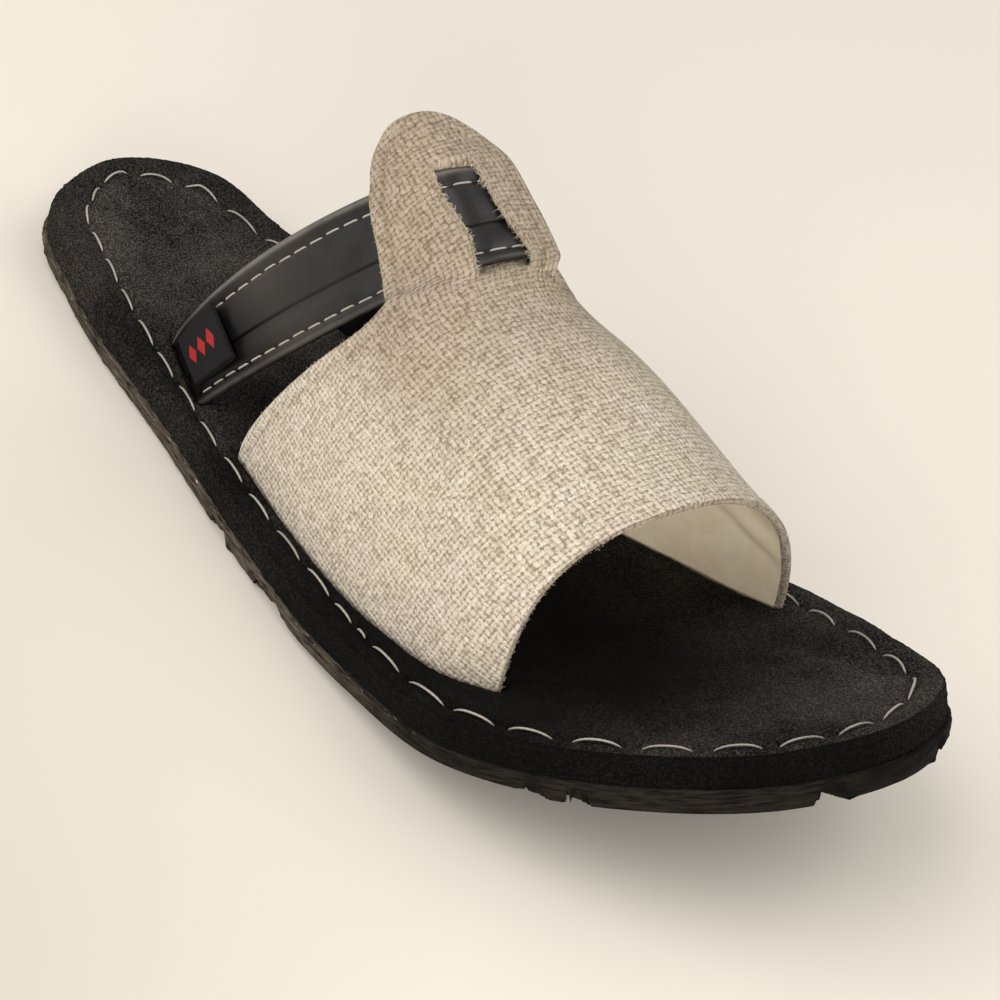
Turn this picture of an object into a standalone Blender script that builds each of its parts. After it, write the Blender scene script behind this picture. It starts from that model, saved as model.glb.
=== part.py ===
import math

import bmesh
import bpy
import numpy as np

# Right slip-on sandal, metres. +X to the toe, +Y to the medial side, +Z up,
# origin on the floor under the middle of the sole.

# Sole
SOLE_LENGTH = 0.2835
BALL_WIDTH = 0.102
OUTSOLE_THICK = 0.0051
MIDSOLE_THICK = 0.0041
INSOLE_THICK = 0.0016
LAYER_GAP = 0.0003
UPPER_LAYER_INSET = 0.0008
INSOLE_EDGE_ROUND = 0.0011
TOE_BEND_START = 0.160
TOE_BEND_ANGLE = math.radians(29.2)
TOE_BEND_GROWTH = 0.77
HEEL_BEND_START = 0.042
HEEL_BEND_ANGLE = math.radians(10.0)
UNDERCUT = 0.0012

# Tyre tread under the sole
GROOVE_DEPTH = 0.0032
GROOVE_FLARE = 1.35
TREAD_SKEW = 0.055

# Upper
VAMP_WALL = 0.0015
STRAP_THICK = 0.0015
PIECE_GAP = 0.0003
SLOT_END = 0.0007
VAMP_COLUMNS = 56
VAMP_ROWS = 15
SLIT_WIDTH = 0.0011
TAG_THICK = 0.0010
STEP_OVER = (STRAP_THICK + VAMP_WALL) / 2 + PIECE_GAP

# Levels above the floor, before the toe is bent up
MIDSOLE_BOTTOM = OUTSOLE_THICK + LAYER_GAP
MIDSOLE_TOP = MIDSOLE_BOTTOM + MIDSOLE_THICK
INSOLE_BOTTOM = MIDSOLE_TOP + LAYER_GAP
INSOLE_TOP = INSOLE_BOTTOM + INSOLE_THICK
UPPER_SEAT = MIDSOLE_TOP + PIECE_GAP

# place, share of sole length from the heel, share of ball width to the medial side
SOLE_OUTLINE = (
    ("heel back", 0.000, 0.020),
    ("heel lateral corner", 0.0395, -0.2120),
    ("heel lateral", 0.1480, -0.3060),
    ("waist lateral", 0.3460, -0.3780),
    ("instep lateral", 0.5135, -0.4420),
    ("ball lateral", 0.6565, -0.4675),
    ("little toe", 0.7755, -0.4685),
    ("toe lateral", 0.8990, -0.3110),
    ("toe front", 0.9835, -0.0740),
    ("toe tip", 1.0000, 0.1460),
    ("big toe", 0.9605, 0.3920),
    ("toe medial", 0.8510, 0.5205),
    ("ball medial", 0.7080, 0.5300),
    ("arch front", 0.5380, 0.3980),
    ("arch", 0.3555, 0.3120),
    ("heel medial", 0.1480, 0.3000),
    ("heel medial corner", 0.0355, 0.2350),
)

# groove, distance to the medial side at the toe tip, width
TREAD_GROOVES = (
    ("shoulder outer", -0.0376, 0.0021),
    ("shoulder inner", -0.0336, 0.0021),
    ("lateral", -0.0015, 0.0055),
    ("medial", 0.0300, 0.0050),
)

# section, lateral foot: from heel, inset from the sole edge; medial foot: from heel,
# inset; crown from heel; fullness of the lateral and the medial side; lean of the wall
UPPER_SECTIONS = (
    ("front edge", 0.2150, 0.0178, 0.218, 0.0119, 0.2190, 2.6, 1.85, 1.30),
    ("toe joint", 0.1970, 0.0125, 0.200, 0.0130, 0.2020, 2.6, 2.0, 1.30),
    ("ball", 0.158, 0.0104, 0.162, 0.0111, 0.1790, 2.9, 2.5, 1.30),
    ("back edge", 0.119, 0.0100, 0.125, 0.0102, 0.1595, 3.3, 2.7, 1.30),
    ("strap front edge", 0.0980, 0.0090, 0.1005, 0.0095, 0.1520, 2.2, 3.7, 1.00),
    ("strap rear edge", 0.0735, 0.0140, 0.0785, 0.0125, 0.1298, 2.2, 4.8, 1.25),
    ("tongue tip", 0.0560, 0.0190, 0.0620, 0.0155, 0.1158, 2.3, 5.0, 1.30),
)
BACK_EDGE = 3.0
STRAP_FRONT = 4.0
STRAP_REAR = 5.0
TONGUE_TIP = 6.0
SLIT_START = 3.36
SLIT_END = 5.27

# section, then the tongue's left edge, left slit, right slit and right edge, in columns
# of the vamp from its crown
TONGUE_PLAN = (
    (3.00, -8.00, -3.00, 1.00, 5.00),
    (3.50, -8.10, -2.60, 1.15, 4.60),
    (4.00, -8.05, -2.50, 1.05, 4.20),
    (4.50, -6.95, -2.36, 0.66, 3.70),
    (5.00, -5.55, -2.15, 0.35, 3.00),
    (5.27, -4.75, -2.00, 0.25, 2.60),
)
TIP_MIDDLE = -0.6
TIP_TAPER = 0.18

# sections where the canvas rises ahead of the strap, and where the bridge between the
# slits goes down under the strap and comes up behind it; fade beside the tongue, in columns
SWELL = (2.10, 3.90)
SWELL_FADE = 8.0
BRIDGE_DIVE = (3.36, 3.92, 5.03, 5.27)

# crown of the upper: from heel, to the medial side, above the flat insole
CROWN_LINE = (
    (0.2190, 0.0020, 0.0512),
    (0.2030, 0.0015, 0.0542),
    (0.1770, 0.0005, 0.0597),
    (0.1530, -0.0006, 0.0654),
    (0.1430, -0.0005, 0.0694),
    (0.1300, 0.0000, 0.0748),
    (0.1155, 0.0010, 0.0792),
)

# strap section, share of half width across and share of half thickness
STRAP_PROFILE = (
    (-1.00, 0.00),
    (-0.985, 0.62),
    (-0.93, 1.00),
    (-0.45, 1.00),
    (0.00, 1.00),
    (0.45, 1.00),
    (0.93, 1.00),
    (0.985, 0.62),
    (1.00, 0.00),
    (0.985, -0.62),
    (0.93, -1.00),
    (0.45, -1.00),
    (0.00, -1.00),
    (-0.45, -1.00),
    (-0.93, -1.00),
    (-0.985, -0.62),
)
STRAP_STEPS = 64
TAG_FROM = 0.022
TAG_TO = 0.112
TAG_MIDDLE = 0.06
TAG_HALF = 0.58


def smooth_rows(table, place):
    """Smooth curve through the rows of a table, read at row numbers."""
    rows = np.asarray(table, float)
    place = np.asarray(place, float)
    last = len(rows) - 1
    i = np.clip(np.floor(place).astype(int), 0, last - 1)
    f = (place - i)[..., None]
    before = rows[np.clip(i - 1, 0, last)]
    start = rows[i]
    end = rows[i + 1]
    after = rows[np.clip(i + 2, 0, last)]
    first = np.where((i == 0)[..., None], end - start, (end - before) / 2)
    second = np.where((i == last - 1)[..., None], end - start, (after - start) / 2)
    return (
        (2 * f**3 - 3 * f**2 + 1) * start
        + (f**3 - 2 * f**2 + f) * first
        + (3 * f**2 - 2 * f**3) * end
        + (f**3 - f**2) * second
    )


def outline_curve(steps=24):
    """Closed smooth curve through the outline table, as points on the flat sole."""
    points = np.array([(a * SOLE_LENGTH, b * BALL_WIDTH) for _, a, b in SOLE_OUTLINE])
    count = len(points)
    before = np.roll(points, 1, 0)
    after = np.roll(points, -1, 0)
    past = np.linalg.norm(points - before, axis=1)[:, None]
    ahead = np.linalg.norm(after - points, axis=1)[:, None]
    slope = ((points - before) / past * ahead + (after - points) / ahead * past) / (past + ahead)
    f = np.linspace(0, 1, steps, endpoint=False)[:, None]
    spans = []
    for i in range(count):
        j = (i + 1) % count
        reach = ahead[i]
        spans.append(
            (2 * f**3 - 3 * f**2 + 1) * points[i]
            + (f**3 - 2 * f**2 + f) * slope[i] * reach
            + (3 * f**2 - 2 * f**3) * points[j]
            + (f**3 - f**2) * slope[j] * reach
        )
    return np.concatenate(spans)


def split_outline():
    """Lateral and medial edges of the outline, each from heel to toe."""
    curve = outline_curve()
    heel = int(np.argmin(curve[:, 0]))
    curve = np.roll(curve, -heel, 0)
    toe = int(np.argmax(curve[:, 0]))
    lateral = curve[: toe + 1]
    medial = np.concatenate([curve[toe:], curve[:1]])[::-1]
    return lateral, medial


LATERAL_EDGE, MEDIAL_EDGE = split_outline()


def edge_at(edge, station):
    """Distance to the medial side of one sole edge at a distance from the heel."""
    return np.interp(station, edge[:, 0], edge[:, 1])


def bend_angle(station):
    """Slope of the sole: none between the bends, up to the toe tip and up to the heel back."""
    station = np.asarray(station, float)
    toe = np.clip((station - TOE_BEND_START) / (SOLE_LENGTH - TOE_BEND_START), 0, 1.4)
    heel = np.clip((HEEL_BEND_START - station) / HEEL_BEND_START, 0, 1.4)
    return TOE_BEND_ANGLE * toe**TOE_BEND_GROWTH - HEEL_BEND_ANGLE * heel


BEND_STATIONS = np.linspace(-0.06, SOLE_LENGTH + 0.06, 1601)
BEND_STEP = BEND_STATIONS[1] - BEND_STATIONS[0]
BEND_ALONG = np.cumsum(np.cos(bend_angle(BEND_STATIONS))) * BEND_STEP
BEND_ALONG += HEEL_BEND_START - np.interp(HEEL_BEND_START, BEND_STATIONS, BEND_ALONG)
BEND_LIFT = np.cumsum(np.sin(bend_angle(BEND_STATIONS))) * BEND_STEP
BEND_LIFT -= np.interp(HEEL_BEND_START, BEND_STATIONS, BEND_LIFT)


def bent_from_heel(station, side, level):
    """Flat-sole point carried along the bent floor line, then up its normal."""
    angle = bend_angle(station)
    x = np.interp(station, BEND_STATIONS, BEND_ALONG) - level * np.sin(angle)
    z = np.interp(station, BEND_STATIONS, BEND_LIFT) + level * np.cos(angle)
    return np.stack(np.broadcast_arrays(x, side, z), -1)


def sole_middle():
    """Middle of the sole's bounding box, seen from above."""
    edge = np.concatenate([LATERAL_EDGE, MEDIAL_EDGE])
    points = bent_from_heel(edge[:, 0], edge[:, 1], OUTSOLE_THICK * 0.55)
    return (points.max(0) + points.min(0))[:2] / 2


HEEL_TO_ORIGIN, SIDE_TO_ORIGIN = sole_middle()


def bent(station, side, level):
    """World point of a flat-sole point."""
    return bent_from_heel(station, side, level) - np.array([HEEL_TO_ORIGIN, SIDE_TO_ORIGIN, 0.0])


def sole_stations():
    """Distances from the heel: close together at the rounded ends, even between."""
    ends = 0.00045 * np.arange(1, 8) ** 2
    inner = np.linspace(ends[-1], SOLE_LENGTH - ends[-1], 30)[1:-1]
    return np.concatenate([ends, inner, (SOLE_LENGTH - ends)[::-1]])


def sole_ring(inset):
    """Outline ring: heel, lateral side, toe, medial side, moved in by the inset."""
    stations = sole_stations()
    heel = LATERAL_EDGE[:1]
    toe = LATERAL_EDGE[-1:]
    lateral = np.stack([stations, edge_at(LATERAL_EDGE, stations)], -1)
    medial = np.stack([stations, edge_at(MEDIAL_EDGE, stations)], -1)[::-1]
    ring = np.concatenate([heel, lateral, toe, medial])
    along = np.roll(ring, -1, 0) - np.roll(ring, 1, 0)
    along /= np.linalg.norm(along, axis=1)[:, None]
    inward = np.stack([-along[:, 1], along[:, 0]], -1)
    return ring + inward * inset


def new_object(name, vertices, faces, material):
    """Mesh object from points and faces, with its faces turned out."""
    mesh = bpy.data.meshes.new(name)
    mesh.from_pydata([tuple(p) for p in np.asarray(vertices)], [], [list(f) for f in faces])
    shape = bmesh.new()
    shape.from_mesh(mesh)
    bmesh.ops.remove_doubles(shape, verts=shape.verts, dist=0.000002)
    bmesh.ops.recalc_face_normals(shape, faces=shape.faces)
    shape.to_mesh(mesh)
    shape.free()
    item = bpy.data.objects.new(name, mesh)
    bpy.context.scene.collection.objects.link(item)
    if material is not None:
        mesh.materials.append(material)
    return item


def plain_material(name, colour, roughness):
    """One plain surface."""
    material = bpy.data.materials.new(name)
    material.use_nodes = True
    shader = material.node_tree.nodes["Principled BSDF"]
    shader.inputs["Base Color"].default_value = (*colour, 1.0)
    shader.inputs["Roughness"].default_value = roughness
    return material


def slab(name, profile, material):
    """Sole layer: outline rings at each (inset, level) of its side, closed above and below."""
    rings = [bent(*sole_ring(inset).T, level) for inset, level in profile]
    size = len(rings[0])
    half = size // 2
    faces = []
    for k in range(len(rings) - 1):
        low = k * size
        high = low + size
        for i in range(size):
            j = (i + 1) % size
            faces.append((low + i, low + j, high + j, high + i))
    for base, flip in ((0, True), ((len(rings) - 1) * size, False)):
        cap = [(base, base + 1, base + size - 1)]
        for i in range(1, half - 1):
            cap.append((base + i, base + i + 1, base + size - i - 1, base + size - i))
        cap.append((base + half - 1, base + half, base + half + 1))
        faces += [tuple(reversed(f)) if flip else f for f in cap]
    return new_object(name, np.concatenate(rings), faces, material)


def make_cutter(name, vertices, faces):
    """Hidden solid that cuts another."""
    item = new_object(name, vertices, faces, None)
    item.hide_render = True
    item.display_type = "WIRE"
    return item


def cut(item, cutter):
    """Take the cutter's space out of the item."""
    step = item.modifiers.new("cut " + cutter.name, "BOOLEAN")
    step.operation = "DIFFERENCE"
    step.solver = "EXACT"
    step.object = cutter


def tube(rings):
    """Points and faces of a closed solid swept through rings of the same size."""
    size = len(rings[0])
    faces = [tuple(range(size))[::-1]]
    for k in range(len(rings) - 1):
        for i in range(size):
            j = (i + 1) % size
            faces.append((k * size + i, k * size + j, (k + 1) * size + j, (k + 1) * size + i))
    faces.append(tuple(range((len(rings) - 1) * size, len(rings) * size)))
    return np.concatenate(rings), faces


def make_outsole():
    rubber = plain_material("tyre rubber", (0.045, 0.040, 0.036), 0.75)
    profile = (
        (UNDERCUT, 0.0),
        (UNDERCUT * 0.35, 0.0012),
        (0.0, OUTSOLE_THICK * 0.55),
        (0.0, OUTSOLE_THICK - 0.0004),
        (0.0004, OUTSOLE_THICK),
    )
    outsole = slab("outsole", profile, rubber)
    flat = np.linspace(-0.02, HEEL_BEND_START, 5)
    rising = np.linspace(TOE_BEND_START, SOLE_LENGTH + 0.02, 22)[1:]
    run = np.concatenate([flat, [TOE_BEND_START], rising])
    vertices = []
    faces = []
    for _, side, width in TREAD_GROOVES:
        wide = width / 2 * GROOVE_FLARE
        low = GROOVE_DEPTH * (1 - wide / (width / 2) * 1.6)
        corners = (
            (-wide, low),
            (wide, low),
            (width / 2 * 0.8, GROOVE_DEPTH),
            (-width / 2 * 0.8, GROOVE_DEPTH),
        )
        rings = []
        for s in run:
            middle = side + TREAD_SKEW * (s - SOLE_LENGTH)
            rings.append(np.array([bent(s, middle + a, b) for a, b in corners]))
        points, sides = tube(rings)
        shift = sum(len(v) for v in vertices)
        vertices.append(points)
        faces += [tuple(i + shift for i in f) for f in sides]
    cut(outsole, make_cutter("tread grooves", np.concatenate(vertices), faces))
    return outsole


def make_midsole():
    foam = plain_material("black foam", (0.016, 0.015, 0.015), 0.9)
    profile = (
        (UPPER_LAYER_INSET, MIDSOLE_BOTTOM),
        (UPPER_LAYER_INSET, MIDSOLE_TOP),
    )
    return slab("midsole", profile, foam)


def make_insole():
    suede = plain_material("black suede", (0.014, 0.013, 0.014), 0.95)
    turn = INSOLE_EDGE_ROUND
    profile = (
        (UPPER_LAYER_INSET, INSOLE_BOTTOM),
        (UPPER_LAYER_INSET, INSOLE_TOP - turn),
        (UPPER_LAYER_INSET + turn * 0.3, INSOLE_TOP - turn * 0.3),
        (UPPER_LAYER_INSET + turn, INSOLE_TOP),
    )
    insole = slab("insole", profile, suede)
    slots = (
        ("vamp lateral slot", 0.0, 0.0, BACK_EDGE, VAMP_WALL, 14),
        ("vamp medial slot", 1.0, 0.0, BACK_EDGE, VAMP_WALL, 14),
        ("strap lateral slot", 0.0, STRAP_FRONT, STRAP_REAR, STRAP_THICK, 4),
        ("strap medial slot", 1.0, STRAP_FRONT, STRAP_REAR, STRAP_THICK, 4),
    )
    for name, end, first, last, wall, steps in slots:
        run = np.linspace(first - 0.022, last + 0.022, steps)
        foot, out = upper_points(np.full(steps, end), run)
        higher, _ = upper_points(np.full(steps, 0.03 if end == 0.0 else 0.97), run)
        rise = higher - foot
        rise /= np.linalg.norm(rise, axis=1)[:, None]
        half = out * (wall / 2 + PIECE_GAP)
        low = foot - rise * 0.0012
        high = foot + rise * 0.0050
        rings = np.stack([low - half, low + half, high + half, high - half], 1)
        ahead = rings[0] - rings[1]
        rings[0] += ahead / np.linalg.norm(ahead, axis=1)[:, None] * SLOT_END
        points, faces = tube(list(rings))
        cut(insole, make_cutter(name, points, faces))
    return insole


def upper_sections(place, steps=121):
    """Arch curves of the upper at section numbers: a full ellipse from foot to foot,
    raised to the crown, the wall leaning to the crown more as it rises."""
    place = np.asarray(place, float)
    rows = smooth_rows([row[1:] for row in UPPER_SECTIONS], np.clip(place, 0, TONGUE_TIP))
    lateral_s, lateral_in, medial_s, medial_in, crown_s, lateral_full, medial_full, lean = rows.T
    line = np.array(CROWN_LINE)[::-1]
    number = np.interp(crown_s, line[:, 0], np.arange(len(line)))
    crown = smooth_rows(line, number)
    lateral = bent(lateral_s, edge_at(LATERAL_EDGE, lateral_s) + lateral_in, UPPER_SEAT)
    medial = bent(medial_s, edge_at(MEDIAL_EDGE, medial_s) - medial_in, UPPER_SEAT)
    top = np.stack(
        [crown_s - HEEL_TO_ORIGIN, crown[:, 1] - SIDE_TO_ORIGIN, crown[:, 2] + INSOLE_TOP], -1
    )
    turn = np.linspace(0, math.pi, steps)
    full = np.where(np.cos(turn) > 0, lateral_full[:, None], medial_full[:, None])
    across = np.sign(np.cos(turn)) * np.abs(np.cos(turn)) ** (2 / full)
    rise = np.abs(np.sin(turn)) ** (2 / full)
    middle = (lateral + medial) / 2
    spread = (lateral - medial) / 2
    curve = middle[:, None, :] + across[:, :, None] * spread[:, None, :]
    lift = (top - middle)[:, None, :]
    curve[:, :, 0] += lift[:, :, 0] * rise ** lean[:, None]
    curve[:, :, 1:] += lift[:, :, 1:] * rise[:, :, None]
    return curve


def upper_curve_points(share, place):
    """Points at shares of the arc, lateral foot to medial foot, of the given sections."""
    curve = upper_sections(place)
    step = np.linalg.norm(np.diff(curve, axis=1), axis=2)
    length = np.concatenate([np.zeros((len(curve), 1)), np.cumsum(step, 1)], 1)
    result = np.empty((len(curve), 3))
    for i in range(len(curve)):
        goal = share[i] * length[i, -1]
        for axis in range(3):
            result[i, axis] = np.interp(goal, length[i], curve[i, :, axis])
    return result


def upper_points(share, place):
    """Points of the upper's middle surface and their outward normals."""
    share = np.asarray(share, float)
    place = np.asarray(place, float)
    shape = np.broadcast(share, place).shape
    share = np.broadcast_to(share, shape).ravel()
    place = np.broadcast_to(place, shape).ravel()
    points = upper_curve_points(share, place)
    before = np.clip(share - 0.006, 0, 1)
    after = np.clip(share + 0.006, 0, 1)
    front = np.clip(place - 0.03, 0, TONGUE_TIP)
    back = np.clip(place + 0.03, 0, TONGUE_TIP)
    across = upper_curve_points(after, place) - upper_curve_points(before, place)
    along = upper_curve_points(share, back) - upper_curve_points(share, front)
    out = np.cross(across, along)
    out /= np.linalg.norm(out, axis=1)[:, None]
    return points.reshape(shape + (3,)), out.reshape(shape + (3,))


def grid_faces(rows, columns, start):
    """Quads of a grid of points stored row by row."""
    faces = []
    for j in range(rows - 1):
        for i in range(columns - 1):
            a = start + j * columns + i
            faces.append((a, a + 1, a + columns + 1, a + columns))
    return faces


def soft_step(value, low, high):
    """0 below low, 1 above high, smooth between."""
    share = np.clip((value - low) / (high - low), 0, 1)
    return share * share * (3 - 2 * share)


def tongue_places():
    """Section numbers of the tongue's rows up to its tip: the dives of the bridge, then even rows."""
    lower = np.concatenate([[BACK_EDGE], np.linspace(BRIDGE_DIVE[0], BRIDGE_DIVE[1], 5)])
    over = np.linspace(STRAP_FRONT - 0.03, STRAP_REAR + 0.03, 7)
    upper = np.linspace(BRIDGE_DIVE[2], BRIDGE_DIVE[3], 5)[1:]
    return np.concatenate([lower, over, upper])


def swell_height(columns, place):
    """Rise of the canvas over its arch where it passes over the strap, dying away beside the tongue."""
    beside = np.maximum(np.maximum(TONGUE_PLAN[0][1] - columns, columns - TONGUE_PLAN[0][4]), 0)
    return STEP_OVER * soft_step(place, *SWELL) * np.exp(-((beside / SWELL_FADE) ** 2))


def make_vamp():
    """Hemp upper: the arch panel, and the tongue as three strips parted by the two slits;
    the outer strips pass over the strap and the middle one under it."""
    hemp = plain_material("hemp canvas", (0.42, 0.32, 0.20), 0.9)
    vertices = []
    faces = []
    half = VAMP_COLUMNS // 2
    columns = np.arange(-half, half + 1)[None, :]
    places = np.linspace(0, BACK_EDGE, VAMP_ROWS + 1)[:, None]
    panel, out = upper_points(0.5 + columns / VAMP_COLUMNS, places)
    panel = panel + out * swell_height(columns, places)[:, :, None]
    faces += grid_faces(VAMP_ROWS + 1, VAMP_COLUMNS + 1, 0)
    vertices.append(panel.reshape(-1, 3))
    count = panel.shape[0] * panel.shape[1]

    rows = tongue_places()
    tip = np.linspace(0, 1, 7)[1:, None]
    plan = np.array(TONGUE_PLAN)
    lines = smooth_rows(plan[:, 1:], np.interp(rows, plan[:, 0], np.arange(len(plan))))
    for strip in range(3):
        steps = int(round(plan[0, strip + 2] - plan[0, strip + 1]))
        share = np.linspace(0, 1, steps + 1)[None, :]
        column = lines[:, strip : strip + 1] * (1 - share) + lines[:, strip + 1 : strip + 2] * share
        off = column[-1:] - TIP_MIDDLE
        reach = np.where(off < 0, lines[-1, 0] - TIP_MIDDLE, lines[-1, 3] - TIP_MIDDLE)
        a = off / reach
        tip_place = SLIT_END + (TONGUE_TIP - SLIT_END) * tip * np.sqrt(1 - a**2 / 2)
        tip_column = TIP_MIDDLE + off * np.sqrt(1 - tip**2 / 2) * (1 - TIP_TAPER * tip * a)
        place = np.concatenate([np.repeat(rows[:, None], steps + 1, 1), tip_place])
        column = np.concatenate([column, tip_column])
        points, out = upper_points(0.5 + column / VAMP_COLUMNS, place)
        height = swell_height(np.clip(column, plan[0, 1], plan[0, 4]), place)
        if strip == 1:
            down, under, back, up = BRIDGE_DIVE
            dive = soft_step(place, down, under) * (1 - soft_step(place, back, up))
            height = height - (height + STEP_OVER) * dive
        points = points + out * height[:, :, None]
        opening = np.clip(np.minimum(place - SLIT_START, SLIT_END - place) / 0.05, 0, 1) * SLIT_WIDTH / 2
        if strip > 0:
            points[:, 0, 1] += opening[:, 0]
        if strip < 2:
            points[:, -1, 1] -= opening[:, -1]
        faces += grid_faces(len(place), steps + 1, count)
        vertices.append(points.reshape(-1, 3))
        count += len(place) * (steps + 1)

    vamp = new_object("vamp", np.concatenate(vertices), faces, hemp)
    wall = vamp.modifiers.new("wall", "SOLIDIFY")
    wall.thickness = VAMP_WALL
    wall.offset = 0.0
    wall.use_even_offset = True
    wall.use_rim = True
    return vamp


def make_strap():
    """Instep strap: a flat band with rounded edges swept from foot to foot."""
    leather = plain_material("black strap", (0.020, 0.018, 0.018), 0.35)
    profile = np.array(STRAP_PROFILE)
    middle = (STRAP_FRONT + STRAP_REAR) / 2
    half = (STRAP_REAR - STRAP_FRONT) / 2
    shares = np.linspace(0, 1, STRAP_STEPS + 1)
    points, out = upper_points(shares[:, None], (middle + half * profile[:, 0])[None, :])
    rings = points + out * (profile[:, 1] * STRAP_THICK / 2)[None, :, None]
    vertices, faces = tube(list(rings))
    return new_object("strap", vertices, faces, leather)


def make_tag():
    """Small cloth tag lying on the outside of the strap near its lateral foot."""
    cloth = plain_material("black tag", (0.012, 0.012, 0.013), 0.85)
    middle = (STRAP_FRONT + STRAP_REAR) / 2
    half = (STRAP_REAR - STRAP_FRONT) / 2
    across = TAG_MIDDLE + np.linspace(-TAG_HALF, TAG_HALF, 6)
    run = np.linspace(TAG_FROM, TAG_TO, 7)
    points, out = upper_points(run[:, None], (middle + half * across)[None, :])
    inner = points + out * (STRAP_THICK / 2 + PIECE_GAP)
    outer = inner + out * TAG_THICK
    rings = np.concatenate([inner, outer[:, ::-1]], 1)
    vertices, faces = tube(list(rings))
    return new_object("strap_tag", vertices, faces, cloth)


def main():
    for item in list(bpy.data.objects):
        bpy.data.objects.remove(item)
    make_outsole()
    make_midsole()
    make_insole()
    make_vamp()
    make_strap()
    make_tag()


main()
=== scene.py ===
import math

import bmesh
import bpy
import numpy as np
from mathutils import Matrix, Vector


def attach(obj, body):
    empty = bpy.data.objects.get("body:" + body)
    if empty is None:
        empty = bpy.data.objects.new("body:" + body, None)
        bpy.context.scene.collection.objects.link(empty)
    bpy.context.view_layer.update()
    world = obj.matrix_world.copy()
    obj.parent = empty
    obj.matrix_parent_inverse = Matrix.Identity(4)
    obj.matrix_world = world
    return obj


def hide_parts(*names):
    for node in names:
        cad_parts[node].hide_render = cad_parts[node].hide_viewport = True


# Right slip-on sandal, metres. +X to the toe, +Y to the medial side, floor at z = 0.

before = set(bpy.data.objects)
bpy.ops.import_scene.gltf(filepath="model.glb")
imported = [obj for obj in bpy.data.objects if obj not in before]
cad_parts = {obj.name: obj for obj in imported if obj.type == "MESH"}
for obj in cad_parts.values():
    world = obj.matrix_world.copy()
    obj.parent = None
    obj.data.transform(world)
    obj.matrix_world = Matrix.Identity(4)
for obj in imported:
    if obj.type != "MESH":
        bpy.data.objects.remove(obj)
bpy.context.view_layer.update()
rng = np.random.default_rng(41)
print("frame:", ", ".join(sorted(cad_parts)))


# Form of the sandal

soleForm = {
    "length": 0.2835,
    "ballWidth": 0.102,
    "outsoleTop": 0.0051,
    "insole": (0.0098, 0.0114),
    "upperSeat": 0.0098,
    "layerInset": 0.0008,
    "toeBend": (0.160, 29.2, 0.77),  # start, degrees at the tip, growth
    "heelBend": (0.042, 10.0),
    "stations": 481,
    # round the sole from the heel: share of length, share of ball width to the medial side
    "outline": (
        (0.000, 0.020), (0.0395, -0.212), (0.148, -0.306), (0.346, -0.378),
        (0.5135, -0.442), (0.6565, -0.4675), (0.7755, -0.4685), (0.899, -0.311),
        (0.9835, -0.074), (1.000, 0.146), (0.9605, 0.392), (0.851, 0.5205),
        (0.708, 0.530), (0.538, 0.398), (0.3555, 0.312), (0.148, 0.300), (0.0355, 0.235),
    ),
}

upperForm = {
    "wall": 0.0015,
    "strapThick": 0.0015,
    "gap": 0.0003,
    "columns": 56,
    # lateral foot from heel, inset; medial foot from heel, inset; crown from heel; fullness of each side; lean
    "sections": (
        (0.2150, 0.0178, 0.218, 0.0119, 0.2190, 2.6, 1.85, 1.30),
        (0.1970, 0.0125, 0.200, 0.0130, 0.2020, 2.6, 2.0, 1.30),
        (0.158, 0.0104, 0.162, 0.0111, 0.1790, 2.9, 2.5, 1.30),
        (0.1165, 0.0100, 0.125, 0.0102, 0.1595, 3.3, 2.7, 1.30),
        (0.0980, 0.0090, 0.1005, 0.0095, 0.1520, 2.2, 3.7, 1.00),
        (0.0735, 0.0140, 0.0785, 0.0125, 0.1298, 2.2, 4.8, 1.25),
        (0.0560, 0.0190, 0.0620, 0.0155, 0.1158, 2.3, 5.0, 1.30),
    ),
    # crown line: from heel, to the medial side, above the flat insole
    "crown": (
        (0.2190, 0.0020, 0.0512), (0.2030, 0.0015, 0.0542), (0.1770, 0.0005, 0.0597),
        (0.1530, -0.0006, 0.0654), (0.1430, -0.0005, 0.0694), (0.1300, 0.0000, 0.0748),
        (0.1155, 0.0010, 0.0792),
    ),
    "backEdge": 3.0,
    "strapFront": 4.0,
    "strapRear": 5.0,
    "tongueTip": 6.0,
}


def smoothRows(table, place):
    # smooth curve through the rows: cubic between two rows, slopes from the rows either side
    rows = np.asarray(table, float)
    last = len(rows) - 1
    i = np.clip(np.floor(place).astype(int), 0, last - 1)
    f = (place - i)[..., None]
    before, start = rows[np.clip(i - 1, 0, last)], rows[i]
    end, after = rows[i + 1], rows[np.clip(i + 2, 0, last)]
    first = np.where((i == 0)[..., None], end - start, (end - before) / 2)
    second = np.where((i == last - 1)[..., None], end - start, (after - start) / 2)
    return ((2 * f**3 - 3 * f**2 + 1) * start + (f**3 - 2 * f**2 + f) * first
            + (3 * f**2 - 2 * f**3) * end + (f**3 - f**2) * second)


def closedCurve(points, steps):
    # closed cubic curve, slope at a point weighted by the lengths of its two chords
    before, after = np.roll(points, 1, 0), np.roll(points, -1, 0)
    past = np.linalg.norm(points - before, axis=1)[:, None]
    ahead = np.linalg.norm(after - points, axis=1)[:, None]
    slope = ((points - before) / past * ahead + (after - points) / ahead * past) / (past + ahead)
    f = np.linspace(0, 1, steps, endpoint=False)[None, :, None]
    run, nextSlope = (slope * ahead)[:, None], (np.roll(slope, -1, 0) * ahead)[:, None]
    curve = ((2 * f**3 - 3 * f**2 + 1) * points[:, None] + (f**3 - 2 * f**2 + f) * run
             + (3 * f**2 - 2 * f**3) * after[:, None] + (f**3 - f**2) * nextSlope)
    return curve.reshape(-1, 2)


def softStep(x, low, high):
    # 0 below low, 1 above high, smooth between
    t = np.clip((x - low) / (high - low), 0, 1)
    return t * t * (3 - 2 * t)


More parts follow.
